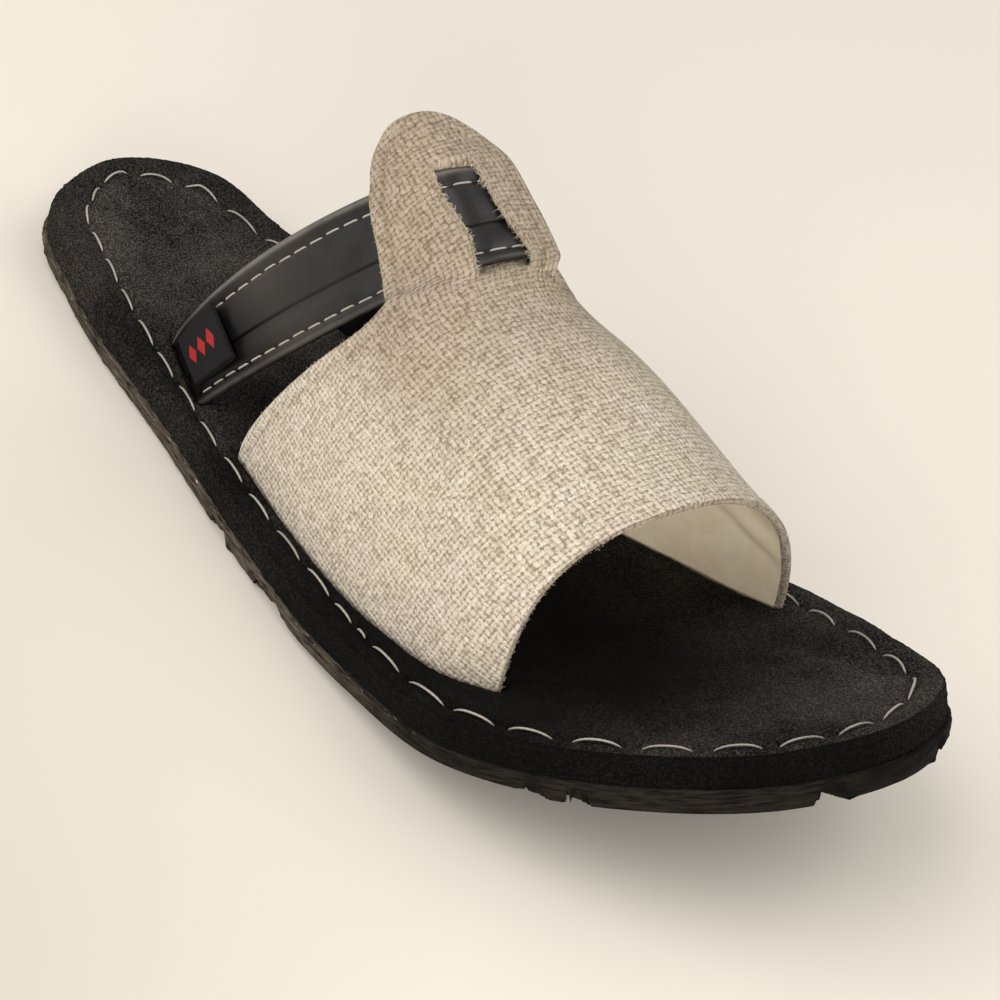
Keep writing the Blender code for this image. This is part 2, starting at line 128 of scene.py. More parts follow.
def bell(x, width):
    # 1 at 0, falling off evenly on both sides
    return np.exp(-(x / width) ** 2)


def unit(ways):
    # each way divided by its length
    return ways / np.maximum(np.linalg.norm(ways, axis=-1, keepdims=True), 1e-12)


def runLength(path):
    # distance along each path from its start: the sum of its steps
    step = np.linalg.norm(np.diff(path, axis=-2), axis=-1)
    return np.concatenate([np.zeros(step.shape[:-1] + (1,)), np.cumsum(step, -1)], -1)


def nearestOf(points, others, size=3000):
    # distance of each point to the nearest of the others, in blocks to spare memory
    gap = np.empty(len(points))
    for i in range(0, len(points), size):
        gap[i:i + size] = np.sqrt(((points[i:i + size, None] - others[None]) ** 2).sum(2).min(1))
    return gap


soleLength = soleForm["length"]
outline = closedCurve(np.array(soleForm["outline"]) * [soleLength, soleForm["ballWidth"]], 96)
outline = np.roll(outline, -int(np.argmin(outline[:, 0])), 0)
toeAt = int(np.argmax(outline[:, 0]))
lateralEdge = outline[: toeAt + 1]
medialEdge = np.concatenate([outline[toeAt:], outline[:1]])[::-1]


def edgeAt(edge, station):
    return np.interp(station, edge[:, 0], edge[:, 1])


def bendAngle(station):
    # slope of the sole: rises from the ball to the toe tip, and a little to the heel back
    start, degrees, growth = soleForm["toeBend"]
    toe = np.clip((station - start) / (soleLength - start), 0, 1.4)
    heelStart, heelDegrees = soleForm["heelBend"]
    heel = np.clip((heelStart - station) / heelStart, 0, 1.4)
    return math.radians(degrees) * toe**growth - math.radians(heelDegrees) * heel


bendRun = np.linspace(-0.06, soleLength + 0.06, 1601)
bendStep = bendRun[1] - bendRun[0]
bendAlong = np.cumsum(np.cos(bendAngle(bendRun))) * bendStep
bendAlong += soleForm["heelBend"][0] - np.interp(soleForm["heelBend"][0], bendRun, bendAlong)
bendLift = np.cumsum(np.sin(bendAngle(bendRun))) * bendStep
bendLift -= np.interp(soleForm["heelBend"][0], bendRun, bendLift)


def bentFromHeel(station, side, level):
    # flat point carried along the bent floor line, then up that line's normal by its level
    angle = bendAngle(station)
    x = np.interp(station, bendRun, bendAlong) - level * np.sin(angle)
    z = np.interp(station, bendRun, bendLift) + level * np.cos(angle)
    return np.stack(np.broadcast_arrays(x, side, z), -1)


soleSpan = bentFromHeel(outline[:, 0], outline[:, 1], soleForm["outsoleTop"] * 0.55)
soleMiddle = (soleSpan.max(0) + soleSpan.min(0)) / 2
soleMiddle[2] = 0.0


def bent(station, side, level):
    return bentFromHeel(station, side, level) - soleMiddle


def raised(flat, level):
    # points of the flat sole at a level over it, bent
    return bent(flat[..., 0], flat[..., 1], level)


# Outline ring of the sole: heel, lateral side, toe, medial side

stationCount = soleForm["stations"]
stations = soleLength * (1 - np.cos(np.linspace(0, math.pi, stationCount))) / 2
ringFlat = np.concatenate([
    np.stack([stations, edgeAt(lateralEdge, stations)], -1),
    np.stack([stations, edgeAt(medialEdge, stations)], -1)[-2:0:-1],
])
ringAlong = unit(np.roll(ringFlat, -2, 0) - np.roll(ringFlat, 2, 0))
ringIn = np.stack([-ringAlong[:, 1], ringAlong[:, 0]], -1)
ringStep = np.linalg.norm(np.roll(ringFlat, -1, 0) - ringFlat, axis=1)
ringArc = np.concatenate([[0], np.cumsum(ringStep)[:-1]])
ringLength = ringStep.sum()
medialIndex = np.concatenate([[0], np.arange(2 * stationCount - 3, stationCount - 1, -1), [stationCount - 1]])
print("sole: perimeter %.0f mm" % (ringLength * 1000))


bothEdges = np.array([0.0, 1.0])


def ladder(ring, across):
    # straight rungs from the lateral half of a ring to its medial half
    lateral, medial = ring[:stationCount], ring[medialIndex]
    return lateral[:, None] + (medial - lateral)[:, None] * across[None, :, None]


def nearestEdge(flat):
    # distance in from the outline, and the place along it, of points on the flat sole
    points = flat.reshape(-1, 2)
    depth, place = np.empty(len(points)), np.empty(len(points))
    for i in range(0, len(points), 4000):  # in blocks, to spare memory
        block = points[i:i + 4000]
        gap = block[:, None] - ringFlat[None]
        k = np.argmin((gap**2).sum(2), 1)
        off = gap[np.arange(len(block)), k]
        depth[i:i + 4000] = (off * ringIn[k]).sum(1)
        place[i:i + 4000] = ringArc[k] + (off * ringAlong[k]).sum(1)
    return depth.reshape(flat.shape[:-1]), place.reshape(flat.shape[:-1])


# Surface of the upper, as a table over (section, share of the arc from the lateral foot)

def archCurves(place, steps=361):
    # full ellipse from foot to foot raised to the crown; the wall leans forward more as it rises
    rows = smoothRows(upperForm["sections"], place)
    latS, latIn, medS, medIn, crownS, latFull, medFull, lean = rows.T
    line = np.array(upperForm["crown"])[::-1]
    crown = smoothRows(line, np.interp(crownS, line[:, 0], np.arange(len(line))))
    lateral = bent(latS, edgeAt(lateralEdge, latS) + latIn, soleForm["upperSeat"])
    medial = bent(medS, edgeAt(medialEdge, medS) - medIn, soleForm["upperSeat"])
    top = np.stack([crownS, crown[:, 1], crown[:, 2] + soleForm["insole"][1]], -1) - soleMiddle
    turn = np.linspace(0, math.pi, steps)
    full = np.where(np.cos(turn) > 0, latFull[:, None], medFull[:, None])
    across = np.sign(np.cos(turn)) * np.abs(np.cos(turn)) ** (2 / full)
    rise = np.abs(np.sin(turn)) ** (2 / full)
    middle, spread = (lateral + medial) / 2, (lateral - medial) / 2
    curve = middle[:, None] + across[:, :, None] * spread[:, None]
    lift = (top - middle)[:, None]
    curve[:, :, 0] += lift[:, :, 0] * rise ** lean[:, None]
    curve[:, :, 1:] += lift[:, :, 1:] * rise[:, :, None]
    return curve


placeLine = np.linspace(0, upperForm["tongueTip"], 361)
shareLine = np.linspace(0, 1, 561)
archs = archCurves(placeLine)
archArc = runLength(archs)
archLength = archArc[:, -1]
upperGrid = np.stack([
    np.stack([np.interp(shareLine * arc[-1], arc, arch[:, axis]) for axis in range(3)], -1)
    for arc, arch in zip(archArc, archs)
])
upperOut = unit(np.cross(np.gradient(upperGrid, axis=1), np.gradient(upperGrid, axis=0)))

# flat pattern of the canvas: V runs back along the shoe, U round the arch from the crown line
backWay = np.array([-0.955, 0.0, 0.297])
upperV = upperGrid @ backWay
alongV = unit(backWay - (upperOut @ backWay)[:, :, None] * upperOut)
alongU = np.cross(alongV, upperOut)
stepU = (np.diff(upperGrid, axis=1) * (alongU[:, 1:] + alongU[:, :-1]) / 2).sum(2)
upperU = np.concatenate([np.zeros((len(archs), 1)), np.cumsum(stepU, 1)], 1)
crownColumn = len(shareLine) // 2
upperU -= upperU[:, crownColumn:crownColumn + 1]
upperTable = np.concatenate([upperGrid, upperOut, upperU[:, :, None], upperV[:, :, None]], 2)


def upperAt(share, place):
    # table read between its four nearest entries: points, outward normals, pattern coordinates
    share, place = np.broadcast_arrays(np.asarray(share, float), np.asarray(place, float))
    i = np.clip(place / upperForm["tongueTip"], 0, 1) * (len(placeLine) - 1)
    j = np.clip(share, 0, 1) * (len(shareLine) - 1)
    i0 = np.minimum(i.astype(int), len(placeLine) - 2)
    j0 = np.minimum(j.astype(int), len(shareLine) - 2)
    fi, fj = (i - i0)[..., None], (j - j0)[..., None]
    value = ((1 - fi) * ((1 - fj) * upperTable[i0, j0] + fj * upperTable[i0, j0 + 1])
             + fi * ((1 - fj) * upperTable[i0 + 1, j0] + fj * upperTable[i0 + 1, j0 + 1]))
    return value[..., :3], unit(value[..., 3:6]), value[..., 6:8]


print("upper: arch %.0f to %.0f mm" % (archLength.min() * 1000, archLength.max() * 1000))


# Mesh helpers

def quadGrid(rows, cols, start=0):
    # corner numbers of every cell of a grid of points stored row by row
    a = np.arange(rows * cols).reshape(rows, cols) + start
    return np.stack([a[:-1, :-1], a[:-1, 1:], a[1:, 1:], a[1:, :-1]], -1).reshape(-1, 4)


def ringGrid(rows, cols, start=0):
    # as quadGrid, closed round each row
    a = np.arange(rows * cols).reshape(rows, cols) + start
    b = np.roll(a, -1, 1)
    return np.stack([a[:-1], b[:-1], b[1:], a[1:]], -1).reshape(-1, 4)


def joined(grids, ring):
    # points of all grids in one list, and the cells of each; the grid numbered ring is closed round
    starts = np.cumsum([0] + [grid.shape[0] * grid.shape[1] for grid in grids])
    cells = [(ringGrid if k == ring else quadGrid)(*grid.shape[:2], starts[k]) for k, grid in enumerate(grids)]
    return np.concatenate([grid.reshape(-1, 3) for grid in grids]), cells


def cellEdges(quads, count):
    # edges of all cells; then of each different edge its key, where it is first met and in how many cells
    edges = np.concatenate([quads[:, [i, (i + 1) % 4]] for i in range(4)])
    found = np.unique(np.sort(edges, 1) @ np.array([count, 1]), return_index=True, return_counts=True)
    return (edges, *found)


def makePiece(name, points, quads, materials, uv=None, values=None, index=None, tidy=True):
    mesh = bpy.data.meshes.new(name)
    mesh.from_pydata(points.tolist(), [], quads if isinstance(quads, list) else quads.tolist())
    if uv is not None:
        corner = np.empty(len(mesh.loops), np.int32)
        mesh.loops.foreach_get("vertex_index", corner)
        mesh.uv_layers.new(name="cloth").data.foreach_set("uv", uv[corner].astype(np.float32).ravel())
    for key, value in (values or {}).items():
        mesh.attributes.new(key, "FLOAT", "POINT").data.foreach_set("value", value.astype(np.float32))
    for material in materials:
        mesh.materials.append(material)
    if index is not None:
        mesh.polygons.foreach_set("material_index", index.astype(np.int32))
    mesh.polygons.foreach_set("use_smooth", np.ones(len(mesh.polygons), bool))
    if tidy:
        shape = bmesh.new()
        shape.from_mesh(mesh)
        bmesh.ops.remove_doubles(shape, verts=shape.verts, dist=0.000001)
        bmesh.ops.recalc_face_normals(shape, faces=shape.faces)
        shape.to_mesh(mesh)
        shape.free()
    mesh.update()
    piece = bpy.data.objects.new(name, mesh)
    bpy.context.scene.collection.objects.link(piece)
    print("  %s: %d faces" % (name, len(mesh.polygons)))
    return piece


def closedShell(points, normals, quads, outer, inner, lip, steps=5):
    # skins at +outer and -inner along the normals; open edges are closed by a half-round lip
    count = len(points)
    edges, _, first, times = cellEdges(quads, count)
    rim = edges[first[times == 1]]
    side = np.cross(points[rim[:, 1]] - points[rim[:, 0]], normals[rim[:, 0]])
    away = np.zeros_like(points)
    np.add.at(away, rim[:, 0], side)
    np.add.at(away, rim[:, 1], side)
    rimPoints = np.unique(rim)
    away = unit(away[rimPoints])
    outer, inner = np.broadcast_to(outer, count), np.broadcast_to(inner, count)
    middle, half = ((outer - inner) / 2)[rimPoints, None], ((outer + inner) / 2)[rimPoints, None]
    turn = np.linspace(math.pi / 2, -math.pi / 2, steps + 1)[1:-1, None, None]
    lips = points[rimPoints] + normals[rimPoints] * (middle + half * np.sin(turn)) + away * lip * np.cos(turn)
    allPoints = np.concatenate([
        points + normals * outer[:, None], points - normals * inner[:, None], lips.reshape(-1, 3)])
    source = np.concatenate([np.arange(count), np.arange(count), np.tile(rimPoints, steps - 1)])
    back = np.zeros(count, int)
    back[rimPoints] = np.arange(len(rimPoints))
    levels = [rim] + [2 * count + k * len(rimPoints) + back[rim] for k in range(steps - 1)] + [rim + count]
    lipQuads = [np.stack([a[:, 1], a[:, 0], b[:, 0], b[:, 1]], -1) for a, b in zip(levels[:-1], levels[1:])]
    faces = np.concatenate([quads, quads[:, ::-1] + count] + lipQuads)
    kind = np.concatenate([np.zeros(len(quads)), np.full(len(quads), 2), np.ones(len(rim) * steps)]).astype(int)
    return allPoints, faces, source, kind, rimPoints, away


def threadTubes(path, lift, radius, sides=8, twist=2600.0, lobe=0.16, squeeze=1.0):
    # two-ply twisted threads: a two-lobed ring turned along each path; path (n, m, 3), lift = its up way
    along = unit(np.gradient(path, axis=1))
    side = unit(np.cross(along, lift))
    up = np.cross(side, along)
    run = runLength(path)
    angle = np.linspace(0, 2 * math.pi, sides, endpoint=False)
    wave = 1 + lobe * np.cos(2 * (angle[None, None] - run[:, :, None] * twist))
    taper = np.sqrt(np.clip(1 - np.abs(np.linspace(-1, 1, path.shape[1])) ** 8, 0.08, 1))
    size = radius * wave * taper[None, :, None]
    points = (path[:, :, None] + side[:, :, None] * (size * np.cos(angle))[..., None]
              + up[:, :, None] * (size * squeeze * np.sin(angle))[..., None])
    count, rows = path.shape[:2]
    one = ringGrid(rows, sides)
    caps = np.concatenate([[[0, 3, 2, 1], [0, 5, 4, 3], [0, 7, 6, 5]],
                           np.array([[0, 1, 2, 3], [0, 3, 4, 5], [0, 5, 6, 7]]) + (rows - 1) * sides])
    one = np.concatenate([one[:, ::-1], caps[:, ::-1]])
    quads = (one[None] + (np.arange(count) * rows * sides)[:, None, None]).reshape(-1, 4)
    uv = np.stack(np.broadcast_arrays(run[:, :, None], angle[None, None] / (2 * math.pi) * 0.002), -1)
    return points.reshape(-1, 3), quads, uv.reshape(-1, 2)


# Material helpers

def startMaterial(name, **sockets):
    material = bpy.data.materials.new(name)
    material.use_nodes = True
    shader = material.node_tree.nodes["Principled BSDF"]
    for key, value in sockets.items():
        shader.inputs[key.replace("_", " ")].default_value = value
    return material, material.node_tree, shader


class NodeValue:
    # an output of a shader node; sums, differences, products and quotients of it are made by further nodes
    def __init__(self, tree, socket):
        self.tree, self.socket = tree, socket

    def __add__(self, other):
        return calc("ADD", self, other)

    def __sub__(self, other):
        return calc("SUBTRACT", self, other)

    def __rsub__(self, other):
        return calc("SUBTRACT", other, self)

    def __mul__(self, other):
        return calc("MULTIPLY", self, other)

    def __truediv__(self, other):
        return calc("DIVIDE", self, other)


def plug(socket, value):
    if isinstance(value, NodeValue):
        value.tree.links.new(value.socket, socket)
    else:
        socket.default_value = value


def calc(operation, *values):
    tree = next(value.tree for value in values if isinstance(value, NodeValue))
    node = tree.nodes.new("ShaderNodeMath")
    node.operation = operation
    for socket, value in zip(node.inputs, values):
        plug(socket, value)
    return NodeValue(tree, node.outputs[0])


def clamped(value):
    # result of a calculation, kept between 0 and 1
    value.socket.node.use_clamp = True
    return value


def fade(value, low, high, toLow=0.0, toHigh=1.0):
    # toLow up to low, toHigh from high on, smooth between
    node = value.tree.nodes.new("ShaderNodeMapRange")
    node.interpolation_type = "SMOOTHSTEP"
    for socket, item in zip(node.inputs, (value, low, high, toLow, toHigh)):
        plug(socket, item)
    return NodeValue(value.tree, node.outputs[0])


def blendColour(share, first, second, kind="MIX"):
    # first colour at share 0, second (or first times second) at share 1
    node = share.tree.nodes.new("ShaderNodeMix")
    node.data_type = "RGBA"
    node.blend_type = kind
    for socket, item in ((0, share), (6, first), (7, second)):
        plug(node.inputs[socket], item)
    return NodeValue(share.tree, node.outputs[2])


def noise(where, scale, detail=3.0, rough=0.55, stretch=None, output="Fac"):
    # cloudy noise over a place, which may be stretched along its axes first
    tree = where.tree
    if stretch is not None:
        turn = tree.nodes.new("ShaderNodeMapping")
        turn.inputs["Scale"].default_value = stretch
        plug(turn.inputs[0], where)
        where = NodeValue(tree, turn.outputs[0])
    node = tree.nodes.new("ShaderNodeTexNoise")
    for key, value in (("Vector", where), ("Scale", scale), ("Detail", detail), ("Roughness", rough)):
        plug(node.inputs[key], value)
    return NodeValue(tree, node.outputs[output])


def objectPlace(tree):
    return NodeValue(tree, tree.nodes.new("ShaderNodeTexCoord").outputs["Object"])


def clothPlace(tree):
    node = tree.nodes.new("ShaderNodeUVMap")
    node.uv_map = "cloth"
    return NodeValue(tree, node.outputs[0])


def pointValue(tree, key):
    node = tree.nodes.new("ShaderNodeAttribute")
    node.attribute_name = key
    return NodeValue(tree, node.outputs["Fac"])


def splitPlace(where):
    node = where.tree.nodes.new("ShaderNodeSeparateXYZ")
    plug(node.inputs[0], where)
    return [NodeValue(where.tree, output) for output in node.outputs]


def joinPlace(x, y, z):
    node = x.tree.nodes.new("ShaderNodeCombineXYZ")
    for socket, value in zip(node.inputs, (x, y, z)):
        plug(socket, value)
    return NodeValue(x.tree, node.outputs[0])


def addBump(shader, height, distance, strength=1.0):
    node = height.tree.nodes.new("ShaderNodeBump")
    for key, value in (("Strength", strength), ("Distance", distance), ("Height", height)):
        plug(node.inputs[key], value)
    plug(shader.inputs["Normal"], NodeValue(height.tree, node.outputs[0]))


def colour(red, green, blue):
    # screen colour 0 to 255 to the linear colour of a socket
    c = np.array([red, green, blue]) / 255
    return (*np.where(c <= 0.04045, c / 12.92, ((c + 0.055) / 1.055) ** 2.4), 1.0)


# Camera, floor and light

cameraForm = {
    "place": (0.34527, -0.32547, 0.34460),
    "right": (0.58130, 0.78420, 0.21708),
    "up": (-0.57851, 0.21070, 0.78799),
    "focus": 2594.4,  # in pixels of the 1000 pixel picture
}


def makeCamera():
    camera = bpy.data.cameras.new("camera")
    camera.sensor_fit = "HORIZONTAL"
    camera.angle = 2 * math.atan(500 / cameraForm["focus"])
    camera.clip_start = 0.01
    right, up = Vector(cameraForm["right"]).normalized(), Vector(cameraForm["up"])
    back = right.cross(up).normalized()
    up = back.cross(right)
    item = bpy.data.objects.new("camera", camera)
    item.matrix_world = Matrix.Translation(cameraForm["place"]) @ Matrix((right, up, back)).transposed().to_4x4()
    bpy.context.scene.collection.objects.link(item)
    bpy.context.scene.camera = item


stageForm = {
    "floorHalf": 4.0,
    "floor": colour(236, 229, 218),
    # painted shade: the floor's darker colour towards the lateral side
    "floorShaded": colour(180, 172, 159),
    "world": (0.54, (1.0, 0.985, 0.965)),
    # name, place, aims at, width, strength, tint
    "lights": (
        ("side light", (-0.40, -0.85, 1.05), (0.0, 0.0, 0.03), 1.90, 12.8, (1.0, 0.975, 0.94)),
        ("right fill", (0.45, 0.70, 0.95), (0.03, 0.0, 0.03), 1.10, 3.6, (1.0, 0.98, 0.96)),
        ("toe fill", (0.95, -0.80, 0.28), (0.06, 0.01, 0.03), 0.60, 9.2, (1.0, 0.98, 0.96)),
    ),
}


def makeStage():
    floorMaterial, tree, shader = startMaterial("pale floor", Roughness=0.9, Specular_IOR_Level=0.2)
    where = objectPlace(tree)
    x, y, _ = splitPlace(where)
    # painted light and shade on the floor: darker towards the lateral side, lighter ahead of the toe where its shadow
    # falls
    floorLit = clamped(fade(y, -0.34, 0.0) + fade(x, 0.06, 0.34))
    plug(shader.inputs["Base Color"], blendColour(floorLit, stageForm["floorShaded"], stageForm["floor"]))
    addBump(shader, noise(where, 900.0, 2.0), 0.0001, 0.15)
    corners = np.array([[-1, -1, 0], [1, -1, 0], [1, 1, 0], [-1, 1, 0]]) * stageForm["floorHalf"]
    floor = makePiece("floor", corners, np.array([[0, 1, 2, 3]]), [floorMaterial])
    for name, place, aim, width, strength, tint in stageForm["lights"]:
        lamp = bpy.data.lights.new(name, "AREA")
        lamp.shape = "DISK"
        lamp.size = width
        lamp.energy = strength
        lamp.color = tint
        item = bpy.data.objects.new(name, lamp)
        item.location = place
        item.rotation_euler = (Vector(aim) - Vector(place)).to_track_quat("-Z", "Y").to_euler()
        bpy.context.scene.collection.objects.link(item)
    world = bpy.data.worlds.new("studio")
    world.use_nodes = True
    sky = world.node_tree.nodes["Background"]
    sky.inputs["Strength"].default_value = stageForm["world"][0]
    sky.inputs["Color"].default_value = (*stageForm["world"][1], 1.0)
    bpy.context.scene.world = world
    bpy.context.scene.view_settings.view_transform = "Standard"


makeCamera()
makeStage()
print("camera, floor and lights ready")


# Stitch line round the insole

stitchForm = {
    # distance along the outline in mm, inset in mm: further in round the heel and the big toe
    "inset": (
        (0, 7.0), (14, 7.6), (24, 9.8), (60, 9.8), (80, 8.6), (105, 6.4), (130, 5.5), (165, 6.8),
        (190, 6.4), (210, 4.8), (240, 5.0), (290, 5.4), (330, 6.2), (380, 7.6), (415, 7.6), (470, 7.0),
        (560, 7.2), (590, 7.2), (600, 8.3), (615, 9.4), (636, 10.9), (648, 9.0), (657, 7.0),
    ),
    # number of a stitch, its start along the outline in mm: sewn by hand, so the pitch wanders
    "starts": (
        (0, 13.8), (1, 24.4), (2, 41.8), (3, 53.8), (13, 187.8), (14, 205.1), (16, 235.9), (20, 294.1),
        (24, 351.1), (25, 371.5), (27, 404.9), (42, 601.8), (43, 618.3), (44, 641.0), (45, 656.5), (46, 670.8),
    ),
    "share": 0.74,  # of the pitch taken by the stitch
    "backstitch": (198.3, 3.6),
    "short": (13, 0.0077),  # one stitch is shorter than its pitch gives
    "radius": 0.00026,
    "bow": 0.0002,
    "arch": 0.0005,  # rise of a 10 mm stitch in its middle
}

insetLine = np.array(stitchForm["inset"]) / 1000
insetRing = np.interp(ringArc, insetLine[:, 0] * ringLength / insetLine[-1, 0], insetLine[:, 1])
smoother = np.hanning(41) / np.hanning(41).sum()
insetRing = np.convolve(np.concatenate([insetRing[-20:], insetRing, insetRing[:20]]), smoother, "valid")
stitchFlat = ringFlat + ringIn * insetRing[:, None]
startLine = np.array(stitchForm["starts"])
stitchStarts = np.interp(np.arange(startLine[-1, 0] + 1), startLine[:, 0], startLine[:, 1]) / 1000
stitchLengths = np.diff(stitchStarts) * stitchForm["share"] * (1 + 0.05 * rng.normal(0, 1, len(stitchStarts) - 1))
stitchLengths[stitchForm["short"][0]] = stitchForm["short"][1]
stitchStarts = np.append(stitchStarts[:-1], stitchForm["backstitch"][0] / 1000)
stitchLengths = np.append(stitchLengths, stitchForm["backstitch"][1] / 1000)
stitchHoles = np.sort(np.mod(np.concatenate([stitchStarts, stitchStarts + stitchLengths]), ringLength))
stitchHoles = np.concatenate([[stitchHoles[-1] - ringLength], stitchHoles, [stitchHoles[0] + ringLength]])


def stitchAt(arc):
    # flat points on the stitch line and its outward way, at distances along the outline from the heel
    arc = np.mod(arc, ringLength)
    closedArc = np.append(ringArc, ringLength)
    point = np.stack([np.interp(arc, closedArc, np.append(stitchFlat[:, k], stitchFlat[0, k])) for k in range(2)], -1)
    way = np.stack([-np.interp(arc, closedArc, np.append(ringIn[:, k], ringIn[0, k])) for k in range(2)], -1)
    return point, unit(way)


# Insole: suede sheet with the stitched margin and the slots that the upper goes into

insoleForm = {
    "across": 150,
    "edgeRound": 0.0006,
    "pillow": 0.00060,
    "trough": 0.00035,
    "dimple": 0.00075,
    "slotDepth": 0.00145,
}


def slotLines():
    # feet of the vamp and of the strap, as lines on the flat sole
    def foot(place, medial):
        rows = smoothRows(upperForm["sections"], place)
        if medial:
            return np.stack([rows[:, 2], edgeAt(medialEdge, rows[:, 2]) - rows[:, 3]], -1)
        return np.stack([rows[:, 0], edgeAt(lateralEdge, rows[:, 0]) + rows[:, 1]], -1)
    vampRun = np.linspace(0, upperForm["backEdge"], 120)
    strapRun = np.linspace(upperForm["strapFront"], upperForm["strapRear"], 40)
    return np.concatenate([foot(run, side) for run in (vampRun, strapRun) for side in (False, True)])


def insoleRelief(flat):
    # pillowed margin, a shallow trough along the stitches with a dimple at each hole, and the slots
    depth, arc = nearestEdge(flat)
    arc = np.mod(arc, ringLength)
    inset = np.interp(arc, np.append(ringArc, ringLength), np.append(insetRing, insetRing[0]))
    t = depth - inset
    after = np.clip(np.searchsorted(stitchHoles, arc), 1, len(stitchHoles) - 1)
    toHole = np.minimum(np.abs(stitchHoles[after] - arc), np.abs(arc - stitchHoles[after - 1]))
    hump = np.sin(math.pi * np.clip(depth / inset, 0, 1)) ** 1.5
    relief = insoleForm["pillow"] * hump * (0.45 + 0.55 * softStep(toHole, 0.0, 0.0045))
    relief -= insoleForm["trough"] * bell(t, 0.0010)
    relief -= insoleForm["dimple"] * bell(t, 0.0010) * bell(toHole, 0.0011)
    relief += 0.00020 * bell(t - 0.0030, 0.0020)
    gap = nearestOf(flat.reshape(-1, 2), slotLines()).reshape(depth.shape)
    relief -= insoleForm["slotDepth"] * (1 - softStep(gap, 0.0010, 0.0020))
    relief += 0.00025 * bell(gap - 0.0032, 0.0013)
    return relief, depth, softStep(t, -0.0025, 0.0015)


def suedeMaterial(name, base, light, speckle, amount, margin=1.0):
    # nap: speckle of lit fibre tips over the dyed ground, in brushed patches; lighter at the heel from dust and painted
    # light, at the medial side from painted light, and lighter at the toe tip
    material, tree, shader = startMaterial(
        name, Roughness=1.0, Specular_IOR_Level=0.03, Sheen_Weight=0.01, Sheen_Roughness=0.5)
    where = objectPlace(tree)
    x, y, _ = splitPlace(where)
    fine, mid = noise(where, 3000.0, 2.0, 0.7), noise(where, 1500.0, 2.0, 0.65)
    patch = noise(where, 42.0, 4.0, 0.65)
    # dust and painted light: lighter towards the heel (dust and painted light) and towards the medial side (painted
    # light)
    dustAndLight = clamped(fade(x, 0.05, -0.10, 0.10, 1.0) + fade(y, 0.0, 0.045, 0.0, 0.55))
    # darker outside the stitches, but for the toe
    outside = (1.0 - pointValue(tree, "inner")) * fade(x, 0.07, 0.0)
    # lighter towards the toe tip
    toeLighter = 0.55 if margin < 1 else 0.0
    dustAndLight = clamped(dustAndLight * fade(outside, 0.0, 1.0, 1.0, margin) + fade(x, 0.082, 0.122, 0.0, toeLighter))
    tips = fade(fine * 0.6 + mid * 0.4, 0.47, 0.61)
    tone = tips * amount * (fade(patch, 0.3, 0.7, 0.5, 1.0) * dustAndLight)
    ground = blendColour(fade(patch, 0.35, 0.7) * dustAndLight, base, light)
    plug(shader.inputs["Base Color"], blendColour(tone, ground, speckle))
    addBump(shader, fine + mid, 0.00030, 0.9)
    return material


suede = suedeMaterial("black suede nap", colour(9, 8, 8), colour(46, 43, 40), colour(116, 111, 105), 0.66, 0.60)
edgeSuede = suedeMaterial("black cut edge", colour(9, 8, 8), colour(24, 22, 20), colour(86, 80, 74), 0.9)


def ringNoise(count, amount):
    # random bumps along the closed outline, joined up at the heel
    bumps = rng.normal(0, 1, count)
    return amount * np.interp(ringArc, np.linspace(0, ringLength, count + 1), np.append(bumps, bumps[0]))


cutWander, cutFine = ringNoise(120, 0.00012), ringNoise(900, 0.00012)  # shared by the insole and the midsole


def makeInsole():
    low, high = soleForm["insole"]
    rounding = insoleForm["edgeRound"]
    turn = np.linspace(0, math.pi / 2, 6)
    insets = np.concatenate([[0, 0], rounding * (1 - np.cos(turn[1:]))]) + soleForm["layerInset"]
    levels = np.concatenate([[low, high - rounding], high - rounding + rounding * np.sin(turn[1:])])
    fuzz = cutFine[None] * np.clip(1.4 - 0.2 * np.arange(len(insets)), 0, 1)[:, None]
    rings = ringFlat + ringIn * (insets[:, None] + cutWander + fuzz)[..., None]
    across = np.linspace(0, 1, insoleForm["across"])
    top = ladder(rings[-1], across)
    relief, depth, inner = insoleRelief(top)
    edgeFade = softStep(depth, 0.0013, 0.0030)
    base = raised(ladder(rings[0], bothEdges), low)
    points, cells = joined([raised(top, high + relief * edgeFade), raised(rings, levels[:, None]), base], 1)
    index = np.concatenate([np.full(len(cell), int(k > 0)) for k, cell in enumerate(cells)])
    inner = np.concatenate([inner.ravel(), np.zeros(len(points) - inner.size)])
    return makePiece(
        "insole_suede", points, np.concatenate(cells), [suede, edgeSuede], values={"inner": inner}, index=index)


def makeSoleStitches(material):
    # each stitch lies along the line, bowed out a little, arched up in its middle, its ends in the holes
    t = np.linspace(0, 1, 22)
    count = len(stitchStarts)
    flat, out = stitchAt(stitchStarts[:, None] + stitchLengths[:, None] * t[None])
    arch = np.sin(math.pi * t)
    drift = 0.00015 * rng.normal(0, 1, count)[:, None]
    flat = flat + out * (stitchForm["bow"] * arch[None] * (0.7 + 0.6 * rng.random((count, 1))) + drift)[..., None]
    relief, _, _ = insoleRelief(flat)
    rise = stitchForm["arch"] * stitchLengths[:, None] / 0.010 * (0.8 + 0.4 * rng.random((count, 1)))
    level = soleForm["insole"][1] - 0.0006 * (1 - arch[None]) ** 2 + (0.5 * stitchForm["radius"] + rise) * arch[None]
    level = np.maximum(level, soleForm["insole"][1] + relief * arch[None] - 0.0006 * (1 - arch[None]) ** 2)
    path = raised(flat, level)
    angle = bendAngle(flat[..., 0])
    lift = np.stack([-np.sin(angle), np.zeros_like(angle), np.cos(angle)], -1)
    points, quads, uv = threadTubes(path, lift, stitchForm["radius"], squeeze=0.9)
    return makePiece("sole_stitches", points, quads, [material], uv=uv)


